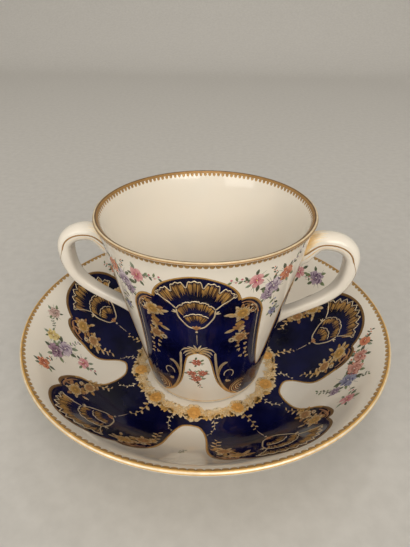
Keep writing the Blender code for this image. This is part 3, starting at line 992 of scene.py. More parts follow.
wreath_gold = Brushwork(saucer_face)
wreath_gold.band([((WREATH_RADIUS + offset) * MILLIMETRE, tint) for offset, tint in WREATH_BAND_AND_HIGHLIGHT],
                 0.4 * GILD_RISE)
for place in range(WREATH_PLACES):
    seat = wreath_gold.seat(FIRST_TONGUE + math.tau * place / WREATH_PLACES)
    for leaves in WREATH_LEAVES:
        wreath_leaves(wreath_gold, seat, *leaves)
    gold_blossom(wreath_gold, seat, 0.0, WREATH_RADIUS + WREATH_BLOSSOM_SHIFT,
                 *WREATH_BLOSSOMS[place % len(WREATH_BLOSSOMS)])
honey_finish = gilding("honey_gilding", HONEY_METAL)
settle(wreath_gold.piece("wreath_gilding"), "saucer", honey_finish)

brim_wall = [tuple(saucer_side(u, -1)[0]) for u in np.linspace(BRIM_START, 1.0, LIP_WALL_STEPS)]
brim_face = TurnedFace(brim_wall + saucer_lip(LIP_FACE_STEPS)[1:], 1)
lip_start = brim_face.measure[len(brim_wall) - 1]
lip_length = brim_face.measure[-1] - lip_start
brim_gold = Brushwork(brim_face)
# The lip's gold band, with a painted highlight along its crown
brim_gold.band([(lip_start + lip_length * share, tint) for share, tint in SAUCER_BAND_AND_HIGHLIGHT])
brim_gold.teeth(SAUCER_TEETH, lip_start + lip_length * SAUCER_TEETH_START, -SAUCER_TOOTH,
                SAUCER_TOOTH_BREADTH)
settle(brim_gold.piece("saucer_lip_gilding"), "saucer", honey_finish)

# Saucer's flower sprays: small garden flowers and leaves in overglaze enamels, painted freehand
# on the white tongues and fired once more at a low heat.
ENAMEL_RISE = 0.000035
PINK = ((0.78, 0.46, 0.44), (0.60, 0.18, 0.22), (0.36, 0.05, 0.10))
RED = ((0.74, 0.30, 0.15), (0.58, 0.16, 0.08), (0.34, 0.07, 0.04))
SOFT_RED = ((0.74, 0.42, 0.34), (0.56, 0.21, 0.16), (0.34, 0.09, 0.07))
BELL_RED = ((0.62, 0.24, 0.16), (0.46, 0.12, 0.08), (0.26, 0.05, 0.03))
BEIGE = ((0.70, 0.54, 0.48), (0.50, 0.32, 0.28), (0.30, 0.16, 0.14))
PURPLE = ((0.50, 0.40, 0.47), (0.25, 0.16, 0.26), (0.11, 0.06, 0.13))
LILAC = ((0.66, 0.57, 0.63), (0.42, 0.31, 0.41), (0.14, 0.08, 0.17))
PLUM = ((0.46, 0.31, 0.39), (0.25, 0.12, 0.20), (0.10, 0.04, 0.09))
YELLOW = ((0.85, 0.72, 0.34), (0.76, 0.58, 0.19), (0.50, 0.33, 0.10))
BLUE = ((0.36, 0.37, 0.48), (0.20, 0.20, 0.34), (0.09, 0.09, 0.20))
GREENS = ((0.19, 0.24, 0.12), (0.10, 0.13, 0.07), (0.24, 0.29, 0.20), (0.08, 0.10, 0.06))
STEM = (0.13, 0.13, 0.09)
ENAMEL_THIN = (0.78, 0.78, 0.78, 1.0)
ENAMEL_CLOUDS = 900.0
ENAMEL_DETAIL = 3.0
ENAMEL_GLOSS_CLOUDS = 200.0
ENAMEL_ROUGHNESS = (0.12, 0.26)
# Proportions of leaves, twigs and flowers, as shares of a leaf's or twig's length or a flower's size
GREEN_BEND = 0.35
GREEN_BREADTH = 0.52
GREEN_RIB = (0.7, 0.06)
TWIG_WIDTH = 0.16
TWIG_BEND = 0.15
TWIG_LEAVES = 4
TWIG_LEAF_TURN = 0.9
TWIG_LEAF_LENGTH = 0.28
BUD_SIZE = 0.13
TENDRIL_WIDTH = 0.26
FLOWER_EYE = 0.12
FLOWER_VEIN = 0.07
SPRAY_LEAVES = 5
SPRAY_TENDRILS = 6
ROSE_STROKES = 16


def enamel(name):
    """Coloured enamel, glossy and a little uneven, tinted stroke by stroke."""
    return painted_finish(name, ENAMEL_CLOUDS, ENAMEL_DETAIL, ENAMEL_THIN, ENAMEL_GLOSS_CLOUDS,
                          ENAMEL_ROUGHNESS)[0]


painter = random.Random(23)


def green_leaf(art, seat, x, y, turn, length):
    """A leaf of one green, darker at its base, with a fine rib."""
    bend = painter.uniform(-GREEN_BEND, GREEN_BEND)
    green = np.array(painter.choice(GREENS))
    art.ray(seat, x, y, turn, length, GREEN_BREADTH * length, leaf_shape, (0.7 * green, 1.25 * green),
            ENAMEL_RISE, bend)
    art.ray(seat, x, y, turn, GREEN_RIB[0] * length, GREEN_RIB[1] * length, tail_shape, STEM,
            1.6 * ENAMEL_RISE, bend, 4)


def petals_round(art, seat, x, y, reach, wide, count, tints, rise, edge):
    """A ring of uneven petals that shade from the heart to their tips, each with its outline."""
    start = painter.uniform(0, math.tau)
    for petal in range(count):
        turn = start + math.tau * petal / count + painter.uniform(-0.2, 0.2)
        art.ray(seat, *away(x, y, turn, 0.10 * reach), turn, reach * painter.uniform(0.78, 1.08),
                wide * painter.uniform(0.8, 1.15), petal_shape, tints, rise * (1 + 0.06 * petal),
                painter.uniform(-0.2, 0.2), edge=edge)


def open_flower(art, seat, x, y, size, tints):
    """A simple flower: five or six petals, fine veins from the heart and a yellow eye."""
    light, mid, dark = tints
    count = painter.choice((5, 5, 6))
    petals_round(art, seat, x, y, 0.50 * size, 0.42 * size, count, (mid, light), ENAMEL_RISE, mid)
    for vein in range(3 * count):
        turn = painter.uniform(0, math.tau)
        art.ray(seat, x, y, turn, size * painter.uniform(0.2, 0.42), FLOWER_VEIN * size, tail_shape,
                (dark, mid), 1.7 * ENAMEL_RISE, painter.uniform(-0.3, 0.3), 4)
    art.dot(seat, x, y, FLOWER_EYE * size, YELLOW[1], 2.2 * ENAMEL_RISE)


def full_flower(art, seat, x, y, size, tints):
    """A full, rose-like flower: two rings of petals and darker curved strokes between them."""
    light, mid, dark = tints
    petals_round(art, seat, x, y, 0.52 * size, 0.26 * size, 9, (mid, light), ENAMEL_RISE, mid)
    petals_round(art, seat, x, y, 0.33 * size, 0.23 * size, 6, (dark, light), 1.6 * ENAMEL_RISE, dark)
    for comma in range(ROSE_STROKES):
        turn = painter.uniform(0, math.tau)
        far = size * painter.uniform(0.08, 0.40)
        tint = light if comma % 4 == 3 else dark
        art.ray(seat, *away(x, y, turn, far), turn + 1.1, 0.24 * size, 0.08 * size, leaf_shape, tint,
                2.4 * ENAMEL_RISE, 0.4, 5)


def bud_twig(art, seat, x, y, turn, length, tints):
    """A thin twig with small leaves and a few buds."""
    art.ray(seat, x, y, turn, length, TWIG_WIDTH, line_shape, STEM, ENAMEL_RISE, TWIG_BEND, 8)
    for step in range(TWIG_LEAVES):
        t = (step + 1) / TWIG_LEAVES
        at_x = x + length * t * math.cos(turn) - TWIG_BEND * length * t * t * math.sin(turn)
        at_y = y + length * t * math.sin(turn) + TWIG_BEND * length * t * t * math.cos(turn)
        hand = 1 if step % 2 else -1
        green_leaf(art, seat, at_x, at_y, turn + hand * TWIG_LEAF_TURN, length * TWIG_LEAF_LENGTH)
        art.dot(seat, *away(at_x, at_y, turn - hand, 0.10 * length), BUD_SIZE * length, tints[step % 2],
                1.4 * ENAMEL_RISE)


def spray(art, seat, flowers, twigs):
    """A loose spray: twigs and leaves behind, and flowers over them."""
    for x, y, turn, length, tints in twigs:
        bud_twig(art, seat, x, y, turn, length, tints)
    for x, y, size, tints, flower in flowers:
        start = painter.uniform(0, math.tau)
        for leaf in range(SPRAY_LEAVES):
            turn = start + math.tau * leaf / SPRAY_LEAVES + painter.uniform(-0.4, 0.4)
            green_leaf(art, seat, *away(x, y, turn, 0.36 * size), turn, size * painter.uniform(0.34, 0.54))
        for tendril in range(SPRAY_TENDRILS):
            turn = painter.uniform(0, math.tau)
            art.ray(seat, *away(x, y, turn, 0.4 * size), turn, size * painter.uniform(0.25, 0.5),
                    TENDRIL_WIDTH, tail_shape, painter.choice(GREENS), ENAMEL_RISE,
                    painter.uniform(-0.4, 0.4))
    for x, y, size, tints, flower in flowers:
        flower(art, seat, x, y, size, tints)


# Each spray's flowers (across, along, size, colours, kind) and twigs, in millimetres
LEFT_SPRAY = (
    ((-2.6, 67.4, 8.0, LILAC, full_flower), (1.6, 71.4, 7.8, PLUM, full_flower),
     (-6.1, 74.5, 6.4, YELLOW, full_flower), (13.6, 77.3, 6.4, RED, full_flower),
     (0.4, 57.4, 6.0, PINK, open_flower), (-18.6, 78.6, 6.0, BEIGE, full_flower)),
    ((-10.6, 74.6, 2.3, 5.0, GREENS), (1.6, 60.0, -1.5, 8.0, PINK), (6.0, 73.0, 0.4, 7.0, RED),
     (-15.0, 77.0, 2.6, 6.0, GREENS), (-5.0, 66.0, -2.6, 6.0, PURPLE)),
)
RIGHT_SPRAY = (
    ((2.2, 69.0, 8.2, BLUE, full_flower), (7.8, 71.2, 8.2, SOFT_RED, full_flower),
     (14.2, 74.0, 7.0, SOFT_RED, full_flower), (21.8, 77.2, 5.6, RED, open_flower),
     (-11.3, 73.2, 6.4, PINK, open_flower), (-2.8, 63.9, 5.0, PURPLE, full_flower)),
    ((9.0, 69.0, 0.2, 9.0, RED), (-1.5, 62.0, -1.6, 7.0, GREENS), (-3.0, 71.0, 2.5, 8.0, PINK),
     (22.0, 78.0, 0.5, 6.0, RED), (1.0, 73.0, 1.4, 6.0, GREENS)),
)
BACK_SPRAY = (
    ((-3.0, 76.2, 7.2, PINK, open_flower), (-13.6, 78.0, 8.0, PURPLE, full_flower),
     (6.8, 72.0, 8.0, RED, full_flower), (1.0, 64.0, 6.0, BLUE, open_flower)),
    ((-6.0, 75.0, 2.8, 7.0, PINK), (8.0, 74.0, 0.6, 9.0, RED), (0.5, 62.0, -1.6, 6.0, BLUE)),
)
FRONT_SPRAY = ((), ((-0.5, 60.0, -1.5, 5.0, GREENS),))
TONGUE_SPRAYS = (FRONT_SPRAY, RIGHT_SPRAY, BACK_SPRAY, RIGHT_SPRAY, LEFT_SPRAY)
saucer_enamels = Brushwork(saucer_face)
for axis, tongue_spray in zip(tongue_axes, TONGUE_SPRAYS):
    spray(saucer_enamels, saucer_enamels.seat(axis), *tongue_spray)
enamel_finish = enamel("flower_enamels")
settle(saucer_enamels.piece("saucer_flower_sprays"), "saucer", enamel_finish)

# Cup body: thrown porcelain, a plain cone on a low foot ring with a lip turned out a little.
# It stands loose in the saucer's well, and carries the same glaze.
cup_low, cup_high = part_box("cup_body")
cup_seat = cup_low.z
cup_height = cup_high.z - cup_low.z - FIRED_ON
cup_rim = cup_high.x - FIRED_ON
CUP_FOOT_RADIUS = 0.0250
CUP_FLARE = 0.0006
CUP_FLARE_HEIGHT = 0.0060
CUP_LIP_THICKNESS = 0.0018
CUP_WALL_THICKNESS = 0.0030
CUP_FLOOR_THICKNESS = 0.0034
CUP_INNER_CORNER = 0.0075
CUP_FOOT_WIDTH = 0.0028
CUP_FOOT_HEIGHT = 0.0018
CUP_WALL_STEPS = 64
CORNER_STEPS = 14


def cup_radius(height):
    """Outer radius of the cup at a height above its foot."""
    cone = CUP_FOOT_RADIUS + (cup_rim - CUP_FLARE - CUP_FOOT_RADIUS) * height / cup_height
    into_flare = np.maximum(0.0, height - (cup_height - CUP_FLARE_HEIGHT)) / CUP_FLARE_HEIGHT
    return cone + CUP_FLARE * into_flare ** 2


def cup_inner_radius(height):
    """Inner radius: the wall thins evenly from the foot to the lip."""
    thickness = CUP_WALL_THICKNESS + (CUP_LIP_THICKNESS - CUP_WALL_THICKNESS) * height / cup_height
    return cup_radius(height) - thickness


cup_lean = math.atan2(cup_rim - CUP_FLARE - CUP_FOOT_RADIUS, cup_height)
cup_floor = CUP_FOOT_HEIGHT + CUP_FLOOR_THICKNESS
corner_top = cup_floor + CUP_INNER_CORNER * (1 - math.sin(cup_lean))
corner_centre = (cup_inner_radius(corner_top) - CUP_INNER_CORNER * math.cos(cup_lean),
                 cup_floor + CUP_INNER_CORNER)
lip_height = cup_height - CUP_LIP_THICKNESS / 2


def cup_lip(steps):
    """The half-round lip, from the inner side over to the outer one."""
    return arc((cup_rim - CUP_LIP_THICKNESS / 2, lip_height), CUP_LIP_THICKNESS / 2, math.pi, 0.0, steps)


cup_inner = [(cup_inner_radius(h), h) for h in np.linspace(corner_top, lip_height, CUP_WALL_STEPS)]
cup_outer = [(cup_radius(h), h) for h in np.linspace(lip_height, 2 * FOOT_ROUND, CUP_WALL_STEPS)]
cup_corner = arc(corner_centre, CUP_INNER_CORNER, -math.pi / 2, -cup_lean, CORNER_STEPS)
cup_outline = ([(0.0, cup_floor)] + cup_corner[:-1] + cup_inner + cup_lip(LIP_STEPS)[1:-1] + cup_outer
               + foot_ring(CUP_FOOT_RADIUS, CUP_FOOT_WIDTH, CUP_FOOT_HEIGHT)
               + [(0.0, CUP_FOOT_HEIGHT)])
cup = turned_piece("cup_porcelain", [(radius, height + cup_seat) for radius, height in cup_outline])
settle(cup, "cup", glaze("cup_glaze", cup_seat + BARE_BAND))
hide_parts("cup_body")

# Handles: straps pressed in a mould, rounded outside and squarer inside, thinner towards the lower
# root, bent to an ear while soft and luted to the wall with slip at both roots, then glazed.
HANDLE_WIDTH = 0.0090
HANDLE_CROWN = 0.0031
HANDLE_BACK = 0.0034
HANDLE_LOWER_WIDTH = 0.0058
HANDLE_ROOT_HEIGHT = 0.0631
HANDLE_RISE = 0.0046
HANDLE_SHOULDER_SPAN = 0.0105
HANDLE_SHOULDER_DROP = 0.0088
HANDLE_LIMB_DROP = 0.0286
HANDLE_SPRING_ANGLE = math.radians(36)
HANDLE_LIMB_ANGLE = math.radians(27)
HANDLE_ROOT_FLARE = 0.0016
HANDLE_ROOT_FLARE_LENGTH = 0.0070
HANDLE_BED = 0.0007
SPRING_PULL = 0.45
QUARTER_PULL = 0.58
LIMB_PULL_HIGH = 0.52
LIMB_PULL_LOW = 0.56
BACK_SQUARENESS = 0.6
STRAP_POINTS = 48
PATH_STEPS = 22
OVERRUN_STEPS = 4
CUTTER_STEPS = 24
STRAP_SMOOTHNESS = math.radians(50)
HANDLES = ((-1, "left_handle"), (1, "right_handle"))
handle_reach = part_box("right_handle")[1].x - HANDLE_CROWN - FIRED_ON
handle_crest = HANDLE_ROOT_HEIGHT + HANDLE_RISE
handle_shoulder = handle_crest - HANDLE_SHOULDER_DROP
handle_foot = handle_shoulder - HANDLE_LIMB_DROP


def bezier(p0, p1, p2, p3, steps):
    """Points of a cubic curve and its directions, without its last point."""
    found = []
    for step in range(steps):
        t = step / steps
        s = 1 - t
        point = p0 * s ** 3 + p1 * (3 * s * s * t) + p2 * (3 * s * t * t) + p3 * t ** 3
        along = (p1 - p0) * (s * s) + (p2 - p1) * (2 * s * t) + (p3 - p2) * (t * t)
        found.append((point, along.normalized()))
    return found


def handle_path():
    """Middle line of the strap beside the axis, from its upper root round to its lower one."""
    root = Vector((cup_radius(HANDLE_ROOT_HEIGHT), HANDLE_ROOT_HEIGHT))
    crest = Vector((handle_reach - HANDLE_SHOULDER_SPAN, handle_crest))
    shoulder = Vector((handle_reach, handle_shoulder))
    foot = Vector((cup_radius(handle_foot), handle_foot))
    spring = Vector((math.cos(HANDLE_SPRING_ANGLE), math.sin(HANDLE_SPRING_ANGLE)))
    limb = Vector((math.cos(HANDLE_LIMB_ANGLE), math.sin(HANDLE_LIMB_ANGLE)))
    level = Vector((1.0, 0.0))
    upright = Vector((0.0, 1.0))
    spring_run = (crest - root).length * SPRING_PULL
    path = bezier(root, root + spring * spring_run, crest - level * spring_run, crest, PATH_STEPS)
    path += bezier(crest, crest + level * (HANDLE_SHOULDER_SPAN * QUARTER_PULL),
                   shoulder + upright * (HANDLE_SHOULDER_DROP * QUARTER_PULL), shoulder, PATH_STEPS)
    path += bezier(shoulder, shoulder - upright * (HANDLE_LIMB_DROP * LIMB_PULL_HIGH),
                   foot + limb * ((shoulder - foot).length * LIMB_PULL_LOW), foot, 2 * PATH_STEPS)
    path.append((foot, -limb))
    overrun = 2 * (HANDLE_CROWN + HANDLE_BACK)
    steps = range(1, OVERRUN_STEPS + 1)
    before = [(root - spring * overrun * step / OVERRUN_STEPS, spring) for step in reversed(steps)]
    after = [(foot - limb * overrun * step / OVERRUN_STEPS, -limb) for step in steps]
    return before + path + after


def strap_section(turn, height, flare):
    """A point of the strap's section, across and outward: a rounded crown over a squarer back."""
    below_crest = min(1.0, max(0.0, (handle_crest - height) / (handle_crest - handle_foot)))
    size = 1 - (1 - HANDLE_LOWER_WIDTH / HANDLE_WIDTH) * below_crest ** 2 * (3 - 2 * below_crest)
    half = size * (HANDLE_WIDTH + flare) / 2
    across, outward = math.cos(turn), math.sin(turn)
    if outward >= 0:
        return half * across, size * (HANDLE_CROWN + flare) * outward
    square = math.copysign(abs(across) ** BACK_SQUARENESS, across)
    return half * square, -size * (HANDLE_BACK + flare) * abs(outward) ** BACK_SQUARENESS


def strap_rings(side):
    """The strap's skin as rings of points along its path."""
    rings = []
    for point, along in handle_path():
        from_wall = max(0.0, point.x - cup_radius(point.y))
        flare = HANDLE_ROOT_FLARE * max(0.0, 1 - from_wall / HANDLE_ROOT_FLARE_LENGTH) ** 2
        outward = Vector((-along.y, along.x))
        ring = []
        for step in range(STRAP_POINTS):
            across, depth = strap_section(math.tau * step / STRAP_POINTS, point.y, flare)
            place = point + outward * depth
            ring.append((side * place.x, across, place.y + cup_seat))
        rings.append(ring)
    return np.array(rings)


handle_finish = glaze("handle_glaze", 0.0)
for side, handle_name in HANDLES:
    rings = strap_rings(side)
    count = len(rings)
    polygons = [(ring * STRAP_POINTS + step, ring * STRAP_POINTS + (step + 1) % STRAP_POINTS,
                 (ring + 1) * STRAP_POINTS + (step + 1) % STRAP_POINTS, (ring + 1) * STRAP_POINTS + step)
                for ring in range(count - 1) for step in range(STRAP_POINTS)]
    polygons += [tuple(range(STRAP_POINTS)), tuple(range((count - 1) * STRAP_POINTS, count * STRAP_POINTS))]
    mesh = bpy.data.meshes.new(handle_name + "_porcelain")
    mesh.from_pydata(rings.reshape(-1, 3).tolist(), [], polygons)
    handle = bpy.data.objects.new(handle_name + "_porcelain", mesh)
    bpy.context.scene.collection.objects.link(handle)
    wall = [(cup_radius(h) - HANDLE_BED, h + cup_seat) for h in np.linspace(0.0, cup_height, CUTTER_STEPS)]
    cutter = turned_piece("wall_cutter", [(0.0, cup_seat)] + wall + [(0.0, cup_seat + cup_height)])
    bpy.ops.object.select_all(action="DESELECT")
    handle.select_set(True)
    bpy.context.view_layer.objects.active = handle
    bpy.ops.object.mode_set(mode="EDIT")
    bpy.ops.mesh.select_all(action="SELECT")
    bpy.ops.mesh.normals_make_consistent(inside=False)
    bpy.ops.object.mode_set(mode="OBJECT")
    trim = handle.modifiers.new("trim_to_wall", "BOOLEAN")
    trim.operation = "DIFFERENCE"
    trim.solver = "EXACT"
    trim.object = cutter
    bpy.ops.object.modifier_apply(modifier="trim_to_wall")
    bpy.data.objects.remove(cutter, do_unlink=True)
    bpy.ops.object.shade_smooth_by_angle(angle=STRAP_SMOOTHNESS)
    settle(handle, "cup", handle_finish)
    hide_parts(handle_name)

# Cup's cobalt ground: two dark blue halves that meet under the handles. Each has a shell-topped
# arch, two ears and a bell-shaped reserve of white at its foot. White tongues hang between the
# arch and the panel round each handle.
CUP_FACE_STEPS = 200
ground_heights = np.linspace(0.0, lip_height, CUP_FACE_STEPS)
cup_face = TurnedFace([(cup_radius(h), h + cup_seat) for h in ground_heights], -1, ground_heights)
FRONT = -math.pi / 2
BACK = math.pi / 2
FLAT_RADIUS = 0.033
FOOT_LINE_STEPS = 10
# Half of a panel's edge, as degrees from its axis and millimetres above the cup's foot
CUP_ARCH = ((0, 73.4), (8, 72.3), (16, 69.4), (21.0, 65.8), (23.4, 62.2))
CUP_EAR = ((23.4, 62.2), (27.0, 62.4), (31.5, 61.2), (36.0, 58.0), (38.8, 54.0))
CUP_SIDE = ((38.8, 54.0), (39.9, 47.0), (41.8, 38.0), (45.0, 28.5), (48.2, 22.5), (50.4, 19.5))
CUP_HANDLE_PANEL = ((50.4, 19.5), (51.8, 18.7), (53.4, 19.8), (55.0, 23.5), (56.8, 30.0), (58.0, 38.0),
                    (59.6, 46.0), (62.4, 53.0), (67.4, 58.3), (76.0, 61.6), (90.0, 62.6))
CUP_FOOT_LINE = ((37.6, 3.0), (50, 2.5), (70, 2.3), (90, 2.3))
# Half of the bell's edge, as millimetres across and up
BELL_EDGE = ((0, 34.7), (1.8, 34.2), (4.1, 32.0), (5.3, 27.0), (6.1, 21.5), (7.3, 16.0), (9.1, 11.5),
             (12.0, 7.0), (16.8, 3.0))


def on_cup(points):
    """Points in degrees and millimetres up, as millimetres across and up the wall."""
    degrees, height = np.array(points, float).T
    return np.column_stack((np.radians(degrees) * cup_radius(height * MILLIMETRE) / MILLIMETRE, height))


def cup_flat(across_up):
    """The flat plan of points that are given in millimetres across and up the wall."""
    across, up = across_up.T * MILLIMETRE
    return np.column_stack((across / cup_face.radius(up) * FLAT_RADIUS, up))


arch_line = flowing(on_cup(CUP_ARCH), level_start=True)
cup_ear_line = flowing(on_cup(CUP_EAR))
side_line = flowing(on_cup(CUP_SIDE))
handle_panel_line = flowing(on_cup(CUP_HANDLE_PANEL), level_end=True)
bell_line = flowing(BELL_EDGE, level_start=True)
foot_line = flowing(on_cup(CUP_FOOT_LINE), FOOT_LINE_STEPS)
upper_half = np.vstack((arch_line, cup_ear_line[1:], side_line[1:], handle_panel_line[1:]))
lower_half = np.vstack((bell_line, foot_line[1:]))
panel_loop = np.vstack((cup_flat(mirrored(upper_half)), cup_flat(mirrored(lower_half))[::-1]))
for axis, panel_name in ((FRONT, "front"), (BACK, "back")):
    panel = film("cup_cobalt_" + panel_name, cup_face, [panel_loop],
                 lambda flat: (axis + flat[:, 0] / FLAT_RADIUS, flat[:, 1]))
    settle(panel, "cup", cobalt_finish)

# Cup's gilding: the same brushed and burnished gold, with a shell in each arch, garlands from
# the ears, a palmette over each bell, and toothed bands outside and inside the gilt lip.
CUP_OUTER_TEETH = 136
CUP_INNER_TEETH = 125
CUP_OUTER_BAND = 0.25
CUP_TOOTH = 1.3
CUP_OUTER_TOOTH_BREADTH = 0.84
CUP_INNER_TOOTH_BREADTH = 0.62
TOOTH_OVERLAP = 0.1
LIP_RUN = 0.005
# The band over the lip: shares of the way from its inner to its outer side, each with its tint. The pale
# strip past the brown line is a painted highlight on the lip's crown.
CUP_BAND_AND_HIGHLIGHT = ((0.0, EDGING), (0.10, GOLD_DULL), (0.36, GOLD_DULL), (0.41, GOLD_BROWN), (0.51, GOLD_BROWN),
            (0.55, GOLD_PALE), (0.67, GOLD_PALE), (0.72, GOLD_DULL), (0.90, EDGING))
CUP_SHELL_FOOT = 48.9
CUP_SHELL_TALL = 1.0
CUP_SHELL_EDGE = (22.5, 2.2, 1.0, (-0.6, -0.2, 0.2, 0.6), 2.3, 6.5)
# How far inside an edge its further lines run
CUP_EAR_LINES = (1.7, 3.0)
SIDE_INNER_LINE = 2.0
SIDE_INNER_POINTS = 22
FOOT_LINE_HEIGHT = 1.7
FOOT_BAND = ((-0.4, GOLD_PLAIN), (-0.25, GOLD_PALE), (0.25, GOLD_PALE), (0.4, GOLD_PLAIN))
# Paths of the palmette's leaves and of the frame round the bell, in millimetres across and up
CROWN_LEAVES = (
    ((0.0, 35.4), (0.5, 37.6), (1.4, 39.7)),
    ((0.2, 35.3), (1.5, 37.5), (3.7, 38.4)),
    ((0.3, 35.2), (2.6, 37.0), (4.8, 37.0), (6.5, 35.0)),
    ((0.4, 35.0), (2.6, 36.0), (4.5, 35.3), (5.6, 33.4)),
    ((0.5, 34.8), (2.4, 35.0), (4.0, 33.8), (4.9, 32.3)),
)
BELL_FRAME = ((6.5, 35.0), (6.7, 30.0), (7.1, 24.0), (8.0, 17.5), (9.9, 11.5), (12.8, 6.5), (16.6, 3.0))
FRAME_HOOK = ((7.8, 18.6), (7.9, 22.6), (8.7, 25.8), (10.0, 27.6), (11.5, 28.1))
# The ring in the hook, by its middle and its half width and height, and the coils at the bell's foot
HOOK_RING = (12.0, 20.2, 1.95, 2.6)
HOOK_RING_TURNS = np.linspace(3.5, -1.0, 22)
VOLUTE = (17.8, 8.4)
VOLUTE_COILS = (5.2, 4.25, 3.3, 2.35, 1.4)
VOLUTE_TURNS = np.linspace(1.0, 4.9, 16)
# Loose petals that end a garland: across, up and which way they point
TRAILING_PETALS = ((15.4, 38.2, -1.9), (17.4, 38.0, -0.7), (16.2, 35.4, -2.2), (17.6, 34.8, -0.6),
                   (18.2, 32.6, -1.4), (17.2, 31.2, -2.2), (18.8, 30.0, -1.2))
HANDLE_SPRIG = ((9.0, 46.0), (8.4, 41.0), (9.6, 36.0), (12.0, 31.0))
# Garlands from the ears and at both sides of a handle, each motif with its place and sizes
EAR_GARLAND = (
    (gold_petals, 11.0, 14.6, 0.9, 2.2, LIGHT),
    (gold_scroll, 20.2, 56.0, 1.9, 2.5, 2.2, -1.2, 0.75, GOLD_PALE),
    (gold_leaf, 13.4, 55.2, 3.1, 4.0),
    (gold_cluster, 16.3, 55.2, 8.0),
    (gold_blossom, 16.3, 55.2, 6.6),
    (gold_petals, 15.8, 51.4, -1.7, 3.0, OCHRE),
    (gold_petals, 15.2, 46.4, 1.7, 3.8),
    (gold_petals, 15.0, 47.6, -0.6, 3.2, LIGHT),
    (gold_leaf, 13.8, 47.2, -2.9, 4.2),
    (gold_cluster, 16.0, 42.2, 6.4),
    (gold_blossom, 16.0, 42.2, 5.6, ROSE, 7),
    (gold_ring, 12.6, 41.4, 2.6),
)
HANDLE_GARLAND = (
    (gold_sprig, HANDLE_SPRIG, 2.4),
    (gold_cluster, 10.0, 52.6, 7.0),
    (gold_blossom, 10.0, 52.6, 5.4),
    (gold_ring, 11.4, 47.4, 2.2),
)
cup_gold = Brushwork(cup_face)
for axis in (FRONT, BACK):
    for hand in (-1, 1):
        seat = cup_gold.seat(axis, hand=hand)
        gilt_edge(cup_gold, seat, arch_line, (0.7, 0.7, 0.9, 1.3))
        gilt_edge(cup_gold, seat, cup_ear_line, (0.9, 1.1, 1.0, 0.8))
        gilt_edge(cup_gold, seat, inset(cup_ear_line, CUP_EAR_LINES[0]), (0.4, 0.9, 1.1, 0.8), GOLD_COPPER)
        gilt_edge(cup_gold, seat, inset(cup_ear_line, CUP_EAR_LINES[1]), (0.2, 0.6, 0.7, 0.4), GOLD_DULL)
        gilt_edge(cup_gold, seat, side_line, (0.9, 0.8, 0.7, 0.6))
        side_inner = inset(side_line, SIDE_INNER_LINE)[:SIDE_INNER_POINTS]
        cup_gold.stroke(seat, side_inner, 0.4, tail_shape, GOLD_PALE)
        gilt_edge(cup_gold, seat, handle_panel_line, (0.7, 1.0, 1.3, 1.3, 1.3))
        cup_gold.stroke(seat, bell_line, 0.6, line_shape, GOLD_PLAIN, edge=GOLD_BROWN)
        cup_gold.stroke(seat, flowing(BELL_FRAME), 1.0, line_shape, (GOLD_PALE, GOLD_PLAIN),
                        edge=GOLD_BROWN)
        for order, leaf in enumerate(CROWN_LEAVES):
            cup_gold.stroke(seat, flowing(leaf), 0.85, leaf_shape, WASH, (1.6 - 0.12 * order) * GILD_RISE,
                            edge=GOLD_DARK)
        cup_gold.stroke(seat, flowing(FRAME_HOOK), 1.5, hook_shape, (GOLD_PLAIN, GOLD_PALE), edge=GOLD_BROWN)
        cup_gold.stroke(seat, flowing(FRAME_HOOK)[4:-3], 0.22, tail_shape, GOLD_DARK, 1.6 * GILD_RISE)
        cup_gold.stroke(seat, curl(*HOOK_RING, HOOK_RING_TURNS), 0.5, line_shape, GOLD_PALE)
        for order, wide in enumerate(VOLUTE_COILS):
            coil = curl(*VOLUTE, wide, wide, VOLUTE_TURNS)
            cup_gold.stroke(seat, coil, 0.6, leaf_shape, LIGHT if order % 2 else ROSE)
        cup_gold.dot(seat, *VOLUTE, 1.2, GOLD_PALE)
        garland(cup_gold, seat, EAR_GARLAND)
        for x, y, turn in TRAILING_PETALS:
            gold_petals(cup_gold, seat, x, y, turn, 2.1, LIGHT, 2)
    shell_seat = cup_gold.seat(axis, CUP_SHELL_FOOT * MILLIMETRE)
    gold_shell(cup_gold, shell_seat, CUP_SHELL_TALL, CUP_SHELL_EDGE)
for axis in (0.0, math.pi):
    for hand in (-1, 1):
        garland(cup_gold, cup_gold.seat(axis, hand=hand), HANDLE_GARLAND)
cup_gold.band([((FOOT_LINE_HEIGHT + offset) * MILLIMETRE, tint) for offset, tint in FOOT_BAND])
settle(cup_gold.piece("cup_gilding"), "cup", gold_finish)

lip_heights = np.linspace(lip_height - LIP_RUN, lip_height, LIP_WALL_STEPS)
lip_inside = [(cup_inner_radius(h), h) for h in lip_heights]
lip_outside = [(cup_radius(h), h) for h in np.linspace(lip_height, lip_height - LIP_RUN, LIP_WALL_STEPS)]
lip_line = lip_inside + cup_lip(LIP_FACE_STEPS)[1:-1] + lip_outside
lip_face = TurnedFace([(radius, height + cup_seat) for radius, height in lip_line], 1)
lip_start = lip_face.measure[len(lip_inside) - 1]
lip_end = lip_face.measure[-len(lip_outside)]
outer_edge = lip_end + CUP_OUTER_BAND * MILLIMETRE
lip_gold = Brushwork(lip_face)
# The lip's band, its pale strip a painted highlight
lip_rows = [(lip_start + (lip_end - lip_start) * share, tint) for share, tint in CUP_BAND_AND_HIGHLIGHT]
lip_gold.band(lip_rows + [(outer_edge, EDGING)])
lip_gold.teeth(CUP_INNER_TEETH, lip_start + TOOTH_OVERLAP * MILLIMETRE, -CUP_TOOTH, CUP_INNER_TOOTH_BREADTH)
lip_gold.teeth(CUP_OUTER_TEETH, outer_edge - TOOTH_OVERLAP * MILLIMETRE, CUP_TOOTH, CUP_OUTER_TOOTH_BREADTH)
settle(lip_gold.piece("cup_lip_gilding"), "cup", honey_finish)

